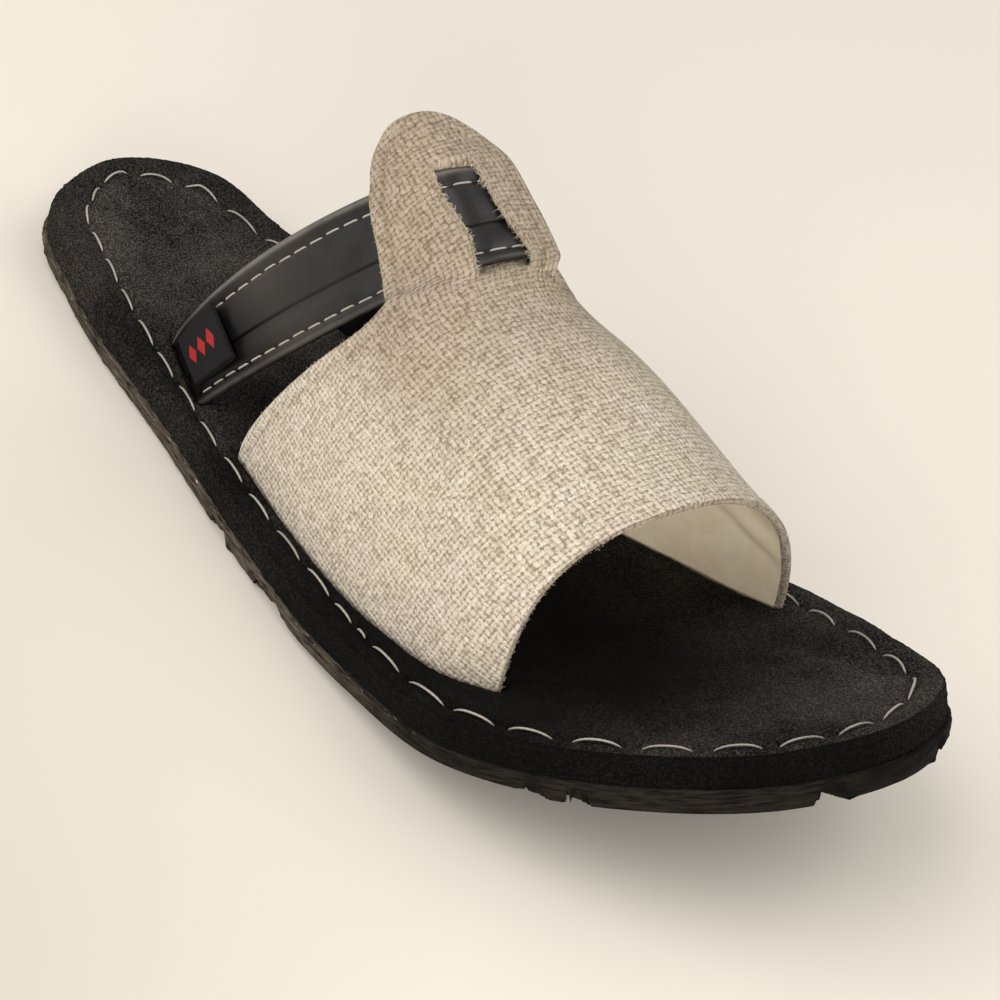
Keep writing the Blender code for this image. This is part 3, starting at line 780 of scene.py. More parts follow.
def threadMaterial(name, pale, dark):
    # waxed thread: fine fibre, slightly soiled in patches
    material, tree, shader = startMaterial(name, Roughness=0.62, Specular_IOR_Level=0.35)
    where = objectPlace(tree)
    soil, fibre = noise(where, 130.0, 3.0, 0.6), noise(where, 3200.0, 2.0, 0.6)
    share = clamped(fade(soil, 0.45, 0.75) * 0.55 + fade(fibre, 0.45, 0.7) * 0.30)
    plug(shader.inputs["Base Color"], blendColour(share, pale, dark))
    addBump(shader, fibre, 0.00008, 0.6)
    return material


paleThread = threadMaterial("off-white waxed thread", colour(172, 166, 155), colour(124, 117, 106))
insole = makeInsole()
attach(insole, "root")
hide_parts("insole")
soleStitches = makeSoleStitches(paleThread)
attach(soleStitches, "root")
print("insole and its stitches ready")


# Midsole: black layer with a fibrous cut edge

midsoleForm = {"levels": 12, "fuzz": 0.00013, "wave": 0.00018}


def makeMidsole():
    low, high = soleForm["outsoleTop"] + 0.00002, soleForm["insole"][0] + 0.00002  # shut on to its neighbours
    count = midsoleForm["levels"]
    levels = np.linspace(low, high, count)
    swell = 0.00010 * np.sin(math.pi * np.linspace(0, 1, count))
    own = np.stack([
        ringNoise(90, midsoleForm["wave"]) * 0.5 + ringNoise(900, midsoleForm["fuzz"]) for _ in range(count)])
    upward = softStep(np.linspace(0, 1, count), 0.5, 1.0)[:, None]  # meets the insole's edge at the top
    insets = soleForm["layerInset"] - swell[:, None] + own * (1 - upward) + (cutWander + cutFine) * upward
    rings = ringFlat[None] + ringIn[None] * insets[..., None]
    caps = [raised(ladder(rings[k], bothEdges), levels[k]) for k in (0, -1)]
    points, cells = joined([raised(rings, levels[:, None])] + caps, 0)
    return makePiece("midsole_layer", points, np.concatenate(cells), [edgeSuede])


midsole = makeMidsole()
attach(midsole, "root")
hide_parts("midsole")
print("midsole ready")


# Outsole: tyre rubber with long grooves, scuffed side

outsoleForm = {
    "across": 120,
    "undercut": 0.0012,
    "grooveDepth": 0.0037,
    "shoulderRise": 0.0014,  # rubber is thinner outside the outermost groove
    "skew": 0.055,
    # distance to the medial side at the toe tip, width
    "grooves": ((-0.0376, 0.0021), (-0.0336, 0.0021), (-0.0015, 0.0055), (0.0300, 0.0050)),
}


def grooveRise(flat):
    # height of the groove floor over the tread; sloped walls, all grooves a little askew
    rise = np.zeros(flat.shape[:-1])
    for side, width in outsoleForm["grooves"]:
        off = np.abs(flat[..., 1] - side - outsoleForm["skew"] * (flat[..., 0] - soleLength))
        wall = np.clip((1.10 * width / 2 - off) / (0.30 * width / 2), 0, 1)
        rise = np.maximum(rise, outsoleForm["grooveDepth"] * wall)
    beyond = outsoleForm["grooves"][0][0] + outsoleForm["skew"] * (flat[..., 0] - soleLength) - flat[..., 1]
    return np.maximum(rise, outsoleForm["shoulderRise"] * softStep(beyond, 0.0006, 0.0012))


def rubberMaterial():
    # worn tyre: grey-brown scuffs drawn out along the edge, pale rubbed spots, glue specks at the joint
    material, tree, shader = startMaterial("worn tyre rubber", Specular_IOR_Level=0.05)
    where, cloth = objectPlace(tree), clothPlace(tree)
    x, y, _ = splitPlace(where)
    level = splitPlace(cloth)[1]
    streak = noise(cloth, 1.0, 4.0, 0.65, stretch=(160.0, 1500.0, 1.0))
    patch, grit = noise(where, 60.0, 4.0, 0.6), noise(where, 1400.0, 3.0, 0.7)
    use = fade(x, 0.075, 0.02, 0.15, 1.0) * fade(y, 0.01, -0.02, 0.45, 1.0)
    scuff = fade(streak, 0.30, 0.66) * fade(patch, 0.22, 0.50, 0.35, 1.0) * use
    ground = blendColour(fade(patch, 0.35, 0.7), colour(6, 5, 5), colour(13, 12, 10))
    worn = blendColour(scuff, ground, colour(96, 88, 77))
    rubbed = fade(grit, 0.58, 0.70) * (fade(streak, 0.50, 0.75) * use)
    worn = blendColour(rubbed * 0.6, worn, colour(140, 132, 119))
    spot = noise(cloth, 1.0, 3.0, 0.6, stretch=(420.0, 1100.0, 1.0))
    run = noise(cloth, 1.0, 2.0, 0.5, stretch=(26.0, 0.0, 1.0))
    # glue shows near the joint in runs, and not at the toe
    nearJoint = fade(level, 0.0041, 0.0047) * fade(run, 0.42, 0.62, 0.10, 1.0) * fade(x, 0.085, 0.030)
    glue = fade(spot, 0.60, 0.68) * nearJoint
    plug(shader.inputs["Base Color"], blendColour(glue, worn, colour(186, 178, 164)))
    plug(shader.inputs["Roughness"], fade(scuff, 0.0, 1.0, 0.72, 0.90))
    addBump(shader, streak * 1.2 + (grit * 0.35 + glue * 0.8), 0.00035, 0.7)
    return material


def makeOutsole():
    top = soleForm["outsoleTop"]
    foot = ringFlat + ringIn * outsoleForm["undercut"]
    floorLevel = grooveRise(foot)
    share = np.array([0.0, 0.06, 0.16, 0.28, 0.42, 0.56, 0.70, 0.84, 0.93, 1.0])
    levels = floorLevel[None] + (top - floorLevel)[None] * share[:, None]
    inset = outsoleForm["undercut"] * np.interp(levels, [0, 0.0012, 0.0028], [1.0, 0.35, 0.0])
    inset += 0.0004 * softStep(levels, top - 0.0004, top)
    chips = np.stack([ringNoise(260, 0.00012) + ringNoise(800, 0.00006) for _ in share])
    chips[0] = chips[-1] = 0
    rings = ringFlat[None] + ringIn[None] * (inset + chips)[..., None]
    sides = raised(rings, levels)
    tread = ladder(rings[0], np.linspace(0, 1, outsoleForm["across"]))
    bottom = raised(tread, grooveRise(tread))
    lid = ladder(rings[-1], bothEdges)
    bottom[:, 0], bottom[:, -1] = sides[0, :stationCount], sides[0, medialIndex]
    points, cells = joined([sides, bottom, raised(lid, top)], 0)
    uv = np.concatenate([
        np.stack(np.broadcast_arrays(ringArc[None], levels), -1).reshape(-1, 2),
        tread.reshape(-1, 2) + [1.0, -0.2], lid.reshape(-1, 2) + [2.0, -0.2]])
    return makePiece("outsole_rubber", points, np.concatenate(cells), [rubberMaterial()], uv=uv)


outsole = makeOutsole()
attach(outsole, "root")
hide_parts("outsole")
print("outsole ready")


# Vamp: hemp canvas panel and tongue, cream lining inside

vampForm = {
    "fineness": 5,  # columns for each of the arch's 56 shares
    "panelRows": 104,
    # tongue: section, then its left edge, left slit, right slit and right edge in shares from the crown line
    "plan": (
        (3.00, -8.00, -2.80, 1.20, 3.00),
        (3.50, -8.10, -2.60, 1.15, 2.80),
        (4.00, -8.05, -2.50, 1.05, 2.84),
        (4.28, -7.50, -2.10, 0.74, 2.88),
        (4.48, -7.00, -2.02, 0.46, 2.85),
        (4.62, -6.65, -2.14, 0.40, 2.82),
        (4.78, -6.25, -2.12, 0.36, 2.78),
        (5.00, -5.55, -1.88, 0.32, 2.68),
        (5.27, -4.75, -1.80, 0.25, 2.50),
    ),
    "slitStart": 3.62,
    "slitEnd": 5.07,
    "slitWidth": 0.0009,
    "dive": (3.62, 3.97, 4.965, 5.07),  # where the bridge between the slits goes under the strap and comes up
    # pattern millimetres: where the rise over the strap starts on the left and on the right, where it ends
    "swell": (-15.0, 1.0, 9.5),
    "sink": (4.8, 3.2, 0.0013),  # the panel lies lower right of the tongue root: column, spread, depth
    "swellFade": (8.0, 3.5),  # columns over which it dies away beside the tongue, left and right
    "lowered": (0.8, 0.9),  # share of the swell lost ahead of the window, how many columns it fades over
    "behind": (4.86, 5.45, 0.70),  # the tongue settles again behind the strap
    "tipMiddle": -0.6,
    "tipTaper": 0.18,
    "front": (0.085, -14.0, 8.0),  # the front edge lies further back on the lateral side: sections, column, spread
    "root": 0.30,  # how far the tongue's root is rounded up from the back edge
    "fringe": (1700, 900),  # loose fibres on all edges, and more on the cut slits
    "hem": 0.0030,
    "hemRise": 0.00028,
    "hemSeam": (0.0006, 0.00034),  # width and depth of the groove along it
    "lip": 0.0005,
    "liningMargin": 0.0009,
    "edgeShade": 1.8,  # painted shade: the front edge is darker and browner inside
    "slitMask": (-0.0022, 0.0082, 0.004, 5.2),  # cut edges: middle, half width and start on the pattern, last section
    "insideFolds": ((0.0470, 0.0042, 0.00055), (0.0515, 0.0024, -0.00030)),  # in the lining: middle, width, height
    "fringeLength": (0.0005, 0.0012),
    "pitch": 0.00122,  # distance of threads
}
# from the middle of the strap's thickness to that of the tongue
stepOver = (upperForm["strapThick"] + upperForm["wall"]) / 2 + upperForm["gap"]


def swellHeight(columns, place):
    # the panel lifts smoothly ahead of the strap and stays up to the tongue's tip, dying away beside the tongue
    first, last = vampForm["plan"][0][1], vampForm["plan"][0][4]
    left, right, high = vampForm["swell"]
    back = np.interp(place, (0, 2.0, 2.5, 3.0, 3.3, 3.6, 4.0, 6.0), (-62, -17.7, -6.6, 2.6, 5.1, 6.3, 9.8, 27))
    low = left + (right - left) * softStep(columns, -2.0, 3.0)
    fadeWidth = np.where(columns < 0, *vampForm["swellFade"])
    beside = np.maximum(np.maximum(first - columns, columns - last), 0)
    amount, width = vampForm["lowered"]
    outside = np.maximum(np.maximum(vampForm["plan"][0][2] - columns, columns - vampForm["plan"][0][3]), 0)
    ahead = softStep(place, 2.6, vampForm["slitStart"]) * (1 - softStep(place, vampForm["slitStart"], 3.98))
    start, end, drop = vampForm["behind"]
    share = (1 - amount * bell(outside, width) * ahead) * (1 - drop * softStep(place, start, end))
    column, spread, depth = vampForm["sink"]
    sunk = depth * bell(columns - column, spread) * softStep(back, -26, -2) * (1 - softStep(back, 3.6, 7.5))
    return stepOver * softStep(back, low, high) * bell(beside, fadeWidth) * share - sunk


def relaxed(points, quads, weight, edgeWeight, rounds):
    # each point moves to the mean of its neighbours by its weight, round after round; open edges only along themselves
    count = len(points)
    _, keys, _, times = cellEdges(quads, count)
    a, b = keys // count, keys % count
    ends, others, free = np.r_[a, b], np.r_[b, a], np.r_[times, times] == 1
    rim = np.zeros(count, bool)
    rim[ends[free]] = True
    weight = np.where(rim, edgeWeight, weight)
    used = free | ~rim[ends]
    ends, others = ends[used], others[used]
    near = np.maximum(np.bincount(ends, minlength=count), 1)
    points = points.copy()
    for _ in range(rounds):
        total = np.stack([np.bincount(ends, column, count) for column in points[others].T], -1)
        points += (total / near[:, None] - points) * weight[:, None]
    return points


def pointNormals(points, quads, like):
    # mean of the faces round each point, each face's from its two diagonals, turned to the side of the given ones
    a, b, c, d = (points[quads[:, i]] for i in range(4))
    face = np.cross(c - a, d - b)
    ends = quads.T.ravel()
    total = np.stack([np.bincount(ends, np.tile(face[:, axis], 4), len(points)) for axis in range(3)], -1)
    total = unit(total)
    return total * np.where((total * like).sum(1) < 0, -1.0, 1.0)[:, None]


def vampSheet():
    # middle surface: the panel, then three tongue strips parted by the slits; the middle strip dives under the strap
    plan = np.array(vampForm["plan"])
    fine, half = vampForm["fineness"], upperForm["columns"] // 2
    first, slitA, slitB, last = plan[0, 1:]
    columns = np.linspace(-half, half, 2 * half * fine + 1)
    beside = np.maximum(np.maximum(first - columns, columns - last), 0)
    rise = vampForm["root"] * np.exp(-(beside / np.where(columns < 0, 0.6, 2.6)) ** 1.3)
    t = np.linspace(0, 1, vampForm["panelRows"])[:, None]
    front = vampForm["front"][0] * bell(columns - vampForm["front"][1], vampForm["front"][2])
    place = upperForm["backEdge"] * t + rise[None] * t**7 + front[None] * (1 - t) ** 3
    across = np.broadcast_to(columns[None], place.shape)
    blocks = [(across, place, swellHeight(across, place), np.zeros_like(place))]
    root = upperForm["backEdge"] + vampForm["root"]
    slitStart, slitEnd = vampForm["slitStart"], vampForm["slitEnd"]
    rows = np.concatenate([np.linspace(root, slitStart, 9), np.linspace(slitStart, slitEnd, 76)[1:]])
    tip = np.linspace(0, 1, 30)[1:, None]
    lines = smoothRows(plan[:, 1:], np.interp(rows, plan[:, 0], np.arange(len(plan))))
    lines = plan[0, 1:] + (lines - plan[0, 1:]) * softStep(rows, root, root + 0.30)[:, None]
    for strip, (start, end) in enumerate(((first, slitA), (slitA, slitB), (slitB, last))):
        share = np.linspace(0, 1, int(round((end - start) * fine)) + 1)
        spread = lines[:, strip:strip + 1] + (lines[:, strip + 1:strip + 2] - lines[:, strip:strip + 1]) * share[None]
        off = spread[-1:] - vampForm["tipMiddle"]
        a = off / (np.where(off < 0, lines[-1, 0], lines[-1, 3]) - vampForm["tipMiddle"])
        tipPlace = slitEnd + (upperForm["tongueTip"] - slitEnd) * tip * np.sqrt(1 - a**2 / 2)
        tipSpread = vampForm["tipMiddle"] + off * np.sqrt(1 - tip**2 / 2) * (1 - vampForm["tipTaper"] * tip * a)
        place = np.concatenate([np.repeat(rows[:, None], len(share), 1), tipPlace])
        across = np.concatenate([spread, tipSpread])
        over = swellHeight(np.clip(across, first, last), place)
        if strip == 1:
            down, under, back, up = vampForm["dive"]
            dive = softStep(place, down, under) * (1 - softStep(place, back, up))
            over = over - (over + stepOver) * dive
        opening = np.clip(np.minimum(place - slitStart, slitEnd - place) / 0.10, 0, 1) * vampForm["slitWidth"] / 2
        shift = np.zeros_like(place)
        if strip > 0:
            shift[:, 0] = opening[:, 0]
        if strip < 2:
            shift[:, -1] = -opening[:, -1]
        blocks.append((across, place, over, shift))
    points, normals, cloth, quads, places, count = [], [], [], [], [], 0
    for across, place, over, shift in blocks:
        p, out, uv = upperAt(0.5 + across / upperForm["columns"], place)
        p = p + out * over[..., None]
        p[..., 1] += shift
        quads.append(quadGrid(*place.shape, count))
        count += place.size
        points.append(p.reshape(-1, 3))
        normals.append(out.reshape(-1, 3))
        cloth.append(uv.reshape(-1, 2))
        places.append(place.ravel())
    points, normals, cloth, places = (np.concatenate(x) for x in (points, normals, cloth, places))
    _, keep, back = np.unique(np.round(points / 2e-7).astype(np.int64), axis=0, return_index=True, return_inverse=True)
    points, quads, places = points[keep], back.ravel()[np.concatenate(quads)], places[keep]
    loose = 0.5 * softStep(places, 2.2, 2.7) * (1 - softStep(places, 3.95, 4.35))
    edgeLoose = 0.5 * softStep(places, 2.95, 3.05) * (1 - softStep(places, 3.45, 3.58))
    # the pattern moves along, so the weave is not drawn out
    eased = relaxed(np.hstack([points, cloth[keep]]), quads, loose, edgeLoose, 260)
    points, cloth = eased[:, :3], eased[:, 3:]
    return points, pointNormals(points, quads, normals[keep]), cloth, places, quads


# soft troughs and ridges of the canvas: two ends in pattern millimetres (round the arch, back), width, height
vampCreases = (
    ((-62, -30), (-30, -16), 7.0, -0.55),
    ((-66, -8), (-40, 2), 6.0, 0.45),
    ((-50, -46), (-22, -38), 6.5, 0.40),
    ((22, -4), (48, 6), 6.0, -0.45),
    ((30, -30), (58, -22), 6.0, 0.40),
    ((-14, 14), (-26, 30), 4.5, -0.35),
    ((12, 16), (20, 32), 4.0, 0.30),
)


def creaseHeight(cloth):
    # each crease is a bell across its line, dying away towards both ends
    mm = cloth * 1000
    height = np.zeros(len(mm))
    for start, end, width, rise in vampCreases:
        start, way = np.array(start), np.array(end) - np.array(start)
        length = np.linalg.norm(way)
        along = (mm - start) @ way / length**2
        across = (mm - start) @ np.array([-way[1], way[0]]) / length
        ends = softStep(along, -0.15, 0.35) * (1 - softStep(along, 0.65, 1.15))
        height += rise / 1000 * bell(across, width) * ends
    return height


def canvasMaterial():
    # plain weave: each thread is a round rib that dips under every second crossing; threads vary in tone and thickness;
    # painted shade between the threads
    material, tree, shader = startMaterial(
        "undyed hemp canvas", Roughness=0.92, Specular_IOR_Level=0.2, Sheen_Weight=0.12, Sheen_Roughness=0.5)
    cloth = clothPlace(tree)
    shake = tree.nodes.new("ShaderNodeVectorMath")  # threads wander a little
    shake.operation = "MULTIPLY_ADD"
    plug(shake.inputs[0], noise(cloth, 260.0, 4.0, 0.62, output="Color"))
    plug(shake.inputs[1], (0.0017, 0.0017, 0.0))
    plug(shake.inputs[2], cloth)
    around, back, _ = splitPlace(NodeValue(tree, shake.outputs[0]))
    u, v = around / vampForm["pitch"], back / vampForm["pitch"]
    iu, iv = calc("FLOOR", u), calc("FLOOR", v)

    def ridge(across, along, index, sign):
        # power of a sine across the thread, times a level that goes up and down along it
        rib = calc("POWER", calc("ABSOLUTE", calc("SINE", across * math.pi)), 0.65)
        dip = calc("COSINE", (along - 0.5) * math.pi + index * math.pi)
        return rib * (dip * (0.40 * sign) + 0.58)

    def threadTone(index, along, seed):
        # noise that changes from thread to thread and slowly along each
        return noise(joinPlace(index * 3.7, along * 0.16, seed), 1.0, 2.0, 0.6)

    warpTone, weftTone = threadTone(iu, v, 3.0), threadTone(iv, u, 17.0)
    warp = ridge(u, v, iu, 1.0) * fade(warpTone, 0.25, 0.75, 0.82, 1.12)
    weft = ridge(v, u, iv, -1.0) * fade(weftTone, 0.25, 0.75, 0.82, 1.12)
    knot = noise(joinPlace(iu * 3.3, iv * 2.9, 0.0), 1.0, 1.0, 0.5)
    height = calc("MAXIMUM", warp, weft) * fade(knot, 0.25, 0.75, 0.68, 1.18)
    onTop = calc("GREATER_THAN", warp, weft)
    tone = onTop * warpTone + (1.0 - onTop) * weftTone
    fibre, blotch = noise(cloth, 1900.0, 4.0, 0.75), noise(cloth, 55.0, 3.0, 0.6)
    pit = noise(cloth, 780.0, 2.0, 0.55) - 0.5
    lit = fade(tone * 0.25 + (fibre * 0.60 + knot * 0.15), 0.34, 0.66)
    warm = blendColour(lit, colour(196, 180, 152), colour(246, 236, 216))
    cool = blendColour(lit, colour(198, 181, 162), colour(248, 237, 223))
    thread = blendColour(fade(blotch, 0.36, 0.64), warm, cool)
    # painted shade: the low places between the threads and the pits are darker
    filled = fade(height + (pit + (fibre * 1.2 - 0.6)), 0.10, 0.74)
    plain = blendColour(filled, colour(154, 138, 115), thread)
    # painted shade along the hem seam's groove and inside the front edge, carried by the hem value
    plain = blendColour(pointValue(tree, "hem") * 0.55, plain, (0.62, 0.58, 0.54, 1.0), "MULTIPLY")
    handledAndShaded = fade(back, -0.046, 0.016) * fade(calc("ABSOLUTE", around), 0.050, 0.024)  # tongue is darker: partly from use, partly painted shade
    plug(shader.inputs["Base Color"], blendColour(handledAndShaded, plain, (0.66, 0.61, 0.56, 1.0), "MULTIPLY"))
    addBump(shader, height + (pit * 1.6 + fibre * 1.1), 0.00046)
    return material


def liningMaterial():
    # smooth cream lining: faint pores and soft greyed patches
    material, tree, shader = startMaterial("cream lining", Roughness=0.75, Specular_IOR_Level=0.25)
    where = objectPlace(tree)
    pores, soft = noise(where, 1300.0, 3.0, 0.6), noise(where, 70.0, 3.0, 0.6)
    share = clamped(fade(soft, 0.35, 0.7) * 0.6 + fade(pores, 0.5, 0.7) * 0.25)
    plug(shader.inputs["Base Color"], blendColour(share, colour(255, 241, 212), colour(236, 215, 182)))
    addBump(shader, pores, 0.00012, 0.6)
    return material


def outwardPattern(cloth, quads, rimPoints):
    # way out of the pattern at its open edges: from the middle of each edge's cell to the edge
    count = len(cloth)
    edges, _, first, times = cellEdges(quads, count)
    open_ = first[times == 1]
    way = cloth[edges[open_]].mean(1) - cloth[quads[open_ % len(quads)]].mean(1)
    total = np.zeros_like(cloth)
    np.add.at(total, edges[open_, 0], way)
    np.add.at(total, edges[open_, 1], way)
    return unit(total[rimPoints])


def makeFringe(points, normals, away, tangents, pick, length, material):
    # loose fibres: thin three-sided tubes that leave the edge and curl at random
    count = len(pick)
    t = np.linspace(0, 1, 5)
    lean = rng.normal(0, 1, (count, 3)) * [0.35, 0.75, 0.95]
    size = length * (0.35 + 0.65 * rng.random(count) ** 2)
    way = away[pick] * (0.8 + lean[:, :1]) + normals[pick] * lean[:, 1:2] + tangents[pick] * lean[:, 2:3]
    way = unit(way)
    curl = rng.normal(0, 0.45, (count, 3))
    root = points[pick] + normals[pick] * rng.uniform(-0.0005, 0.0006, (count, 1))
    root = root + away[pick] * rng.uniform(-0.0001, 0.0003, (count, 1))
    path = root[:, None] + size[:, None, None] * (way[:, None] * t[:, None] + curl[:, None] * t[:, None] ** 2)
    along = unit(np.gradient(path, axis=1))
    side = unit(np.cross(along, normals[pick][:, None] + 0.01))
    up = np.cross(side, along)
    angle = (np.arange(3) * 2 * math.pi / 3)[:, None]
    radius = 0.00005 * np.array([1.0, 1.0, 0.9, 0.75, 0.4])[:, None, None]
    ring = path[:, :, None] + radius * (side[:, :, None] * np.cos(angle) + up[:, :, None] * np.sin(angle))
    one = np.concatenate([ringGrid(5, 3), [[0, 2, 1, 1], [12, 13, 14, 14]]])
    faces = (one[None] + (np.arange(count) * 15)[:, None, None]).reshape(-1, 4).tolist()
    faces = [f[:3] if f[2] == f[3] else f for f in faces]
    return makePiece("vamp_fringe", ring.reshape(-1, 3), faces, [material], tidy=False)


def makeVamp():
    points, normals, cloth, places, quads = vampSheet()
    half = upperForm["wall"] / 2
    rim = closedShell(points, normals, quads, half, half, vampForm["lip"])[4]
    feet = points[rim][:, 2] < bentFloor(points[rim][:, 0]) + 0.0016
    middle, width, start, end = vampForm["slitMask"]
    cut = (np.abs(cloth[rim, 0] - middle) < width) & (cloth[rim, 1] > start) & (places[rim] < end)
    hemmed = rim[~feet & ~cut]
    toHem = nearestOf(points, points[hemmed])
    lift = vampForm["hemRise"] * (1 - softStep(toHem, vampForm["hem"] - 0.0004, vampForm["hem"] + 0.0005))
    u, v = cloth.T
    tongue = softStep(v, -0.040, -0.020)
    width, depth = vampForm["hemSeam"]
    seam = bell(toHem - vampForm["hem"], width) * tongue
    lift -= depth * seam
    high = softStep(points[:, 2], 0.016, 0.030)
    body = points + normals * (creaseHeight(cloth) * high * softStep(toHem, 0.001, 0.012))[:, None]
    fold = sum(height * bell(u - middle, width) for middle, width, height in vampForm["insideFolds"])
    fold = fold * softStep(v, -0.066, -0.058) * (1 - softStep(v, -0.046, -0.030))
    shell, faces, source, kind, rim, away = closedShell(body, normals, quads, half + lift, half + fold, vampForm["lip"])
    lined = (kind == 2) & (toHem[source[faces]].min(1) > vampForm["liningMargin"])
    # painted shade: darker in the hem seam's groove, and inside along the front edge
    shade = seam[source]
    inside = slice(len(points), None)
    shade[inside] += vampForm["edgeShade"] * ((1 - tongue) * (1 - softStep(toHem, 0.0016, 0.0024)))[source][inside]
    uv = cloth[source]
    steps = (len(shell) - 2 * len(points)) // len(rim)
    turn = np.linspace(math.pi / 2, -math.pi / 2, steps + 2)[1:-1]
    out = outwardPattern(cloth, quads, rim)
    uv[2 * len(points):] += (out[None] * (half * (math.pi / 2 - np.abs(turn)))[:, None, None]).reshape(-1, 2)
    materials = [canvasMaterial(), liningMaterial()]
    piece = makePiece("vamp_canvas", shell, faces, materials, uv=uv, values={"hem": shade}, index=lined)
    free = ~feet
    edge, ways, ups = body[rim[free]], away[free], normals[rim[free]]
    slit = np.flatnonzero(cut[free])
    everywhere, onSlits = vampForm["fringe"]
    pick = np.concatenate([rng.integers(0, len(edge), everywhere), rng.choice(slit, onSlits)])
    length = np.repeat(vampForm["fringeLength"], vampForm["fringe"])
    fringe = makeFringe(edge + ways * 0.0004, ups, ways, np.cross(ups, ways), pick, length, fringeMaterial())
    a, b, c, d = (cloth[quads[:, i]] for i in range(4))  # area of the flat pattern, from the diagonals of its cells
    (p, q), (r, s) = (c - a).T, (d - b).T
    area = np.abs(p * s - q * r).sum() / 2
    flat = np.ptp(cloth, axis=0)
    print("vamp: cut from %.0f x %.0f mm, %.0f square cm" % (*flat * 1000, area * 1e4))
    return piece, fringe, flat, area


def fringeMaterial():
    # loose hemp fibre, a little paler than the cloth
    return startMaterial(
        "loose hemp fibre", Base_Color=colour(214, 201, 178), Roughness=0.9, Specular_IOR_Level=0.15)[0]


def bentFloor(x):
    # height of the seat of the upper over the floor at a distance along the shoe
    s = np.linspace(0, soleLength, 400)
    line = bent(s, 0.0, soleForm["upperSeat"])
    return np.interp(x, line[:, 0], line[:, 2])


vamp, fringe, flatSize, flatArea = makeVamp()
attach(vamp, "root")
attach(fringe, "root")
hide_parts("vamp")
print("vamp ready")


# Strap: folded and stitched band

strapForm = {
    "steps": 331,
    "seam": -0.15,  # place of the middle seam, share of half width to the rear
    "stitchLines": (-0.70, 0.62),
    "stitchPitch": 0.0054,
    "stitchLength": 0.0043,
    "firstStitch": 0.004,
    "threadRadius": 0.00022,
    # swollen places of the top: share of half width to the rear, spread, height
    "swells": ((0.82, 0.12, 0.00045), (-0.86, 0.09, 0.00025), (0.2, 0.26, 0.00025), (-0.42, 0.18, 0.00015)),
}

strapMiddle = (upperForm["strapFront"] + upperForm["strapRear"]) / 2
strapHalf = (upperForm["strapRear"] - upperForm["strapFront"]) / 2
strapShares = np.linspace(0, 1, strapForm["steps"])
strapLine, _, _ = upperAt(strapShares, strapMiddle)
strapRun = runLength(strapLine)


def holeGap(run):
    # distance along the band to the nearest hole of a stitch
    pitch = strapForm["stitchPitch"]
    phase = np.mod(run - strapForm["firstStitch"], pitch)
    return np.minimum(np.minimum(phase, pitch - phase), np.abs(phase - strapForm["stitchLength"]))


def strapRelief(q, run):
    # top of the band: sunk along both stitch lines, a dimple at each hole, an overlapped seam near the middle
    hole = holeGap(run)
    relief = sum(height * bell(q - middle, spread) for middle, spread, height in strapForm["swells"])
    for line in strapForm["stitchLines"]:
        relief = relief - 0.00020 * bell(q - line, 0.05) - 0.00016 * bell(q - line, 0.045) * bell(hole, 0.0006)
    off = q - strapForm["seam"]
    overlap = (1 - softStep(off, -0.012, 0.012)) * softStep(off, -0.34, -0.02)
    return relief - 0.00045 * bell(off, 0.016) - 0.00030 * overlap


def strapMaterial():
    # smooth satin skin: fine pebble, faint rubbed streaks, less shine low down; a painted highlight along the rolled
    # edges and painted shade in the seam and the stitch holes
    material, tree, shader = startMaterial("satin black strap", Coat_Roughness=0.35)
    where = objectPlace(tree)
    high = fade(splitPlace(where)[2], 0.028, 0.050)
    plug(shader.inputs["Specular IOR Level"], fade(high, 0.0, 1.0, 0.10, 0.45))
    plug(shader.inputs["Coat Weight"], fade(high, 0.0, 1.0, 0.0, 0.10))
    pebble, rub = noise(where, 1700.0, 2.0, 0.5), noise(where, 90.0, 4.0, 0.6)
    skin = blendColour(fade(rub, 0.35, 0.75), colour(14, 13, 13), colour(25, 23, 23))
    # painted highlight: a pale line along the rolled edges, carried by the rub value
    worn = pointValue(tree, "rub") * fade(rub, 0.25, 0.6, 0.40, 0.90)
    skin = blendColour(worn, skin, colour(116, 111, 105))
    # painted shade: near black in the seam's gap and in the stitch holes, carried by the seam value
    plug(shader.inputs["Base Color"], blendColour(pointValue(tree, "seam") * 0.9, skin, colour(4, 4, 4)))
    plug(shader.inputs["Roughness"], fade(rub, 0.3, 0.75, 0.30, 0.44))
    addBump(shader, pebble + rub * 0.8, 0.00010, 0.45)
    return material


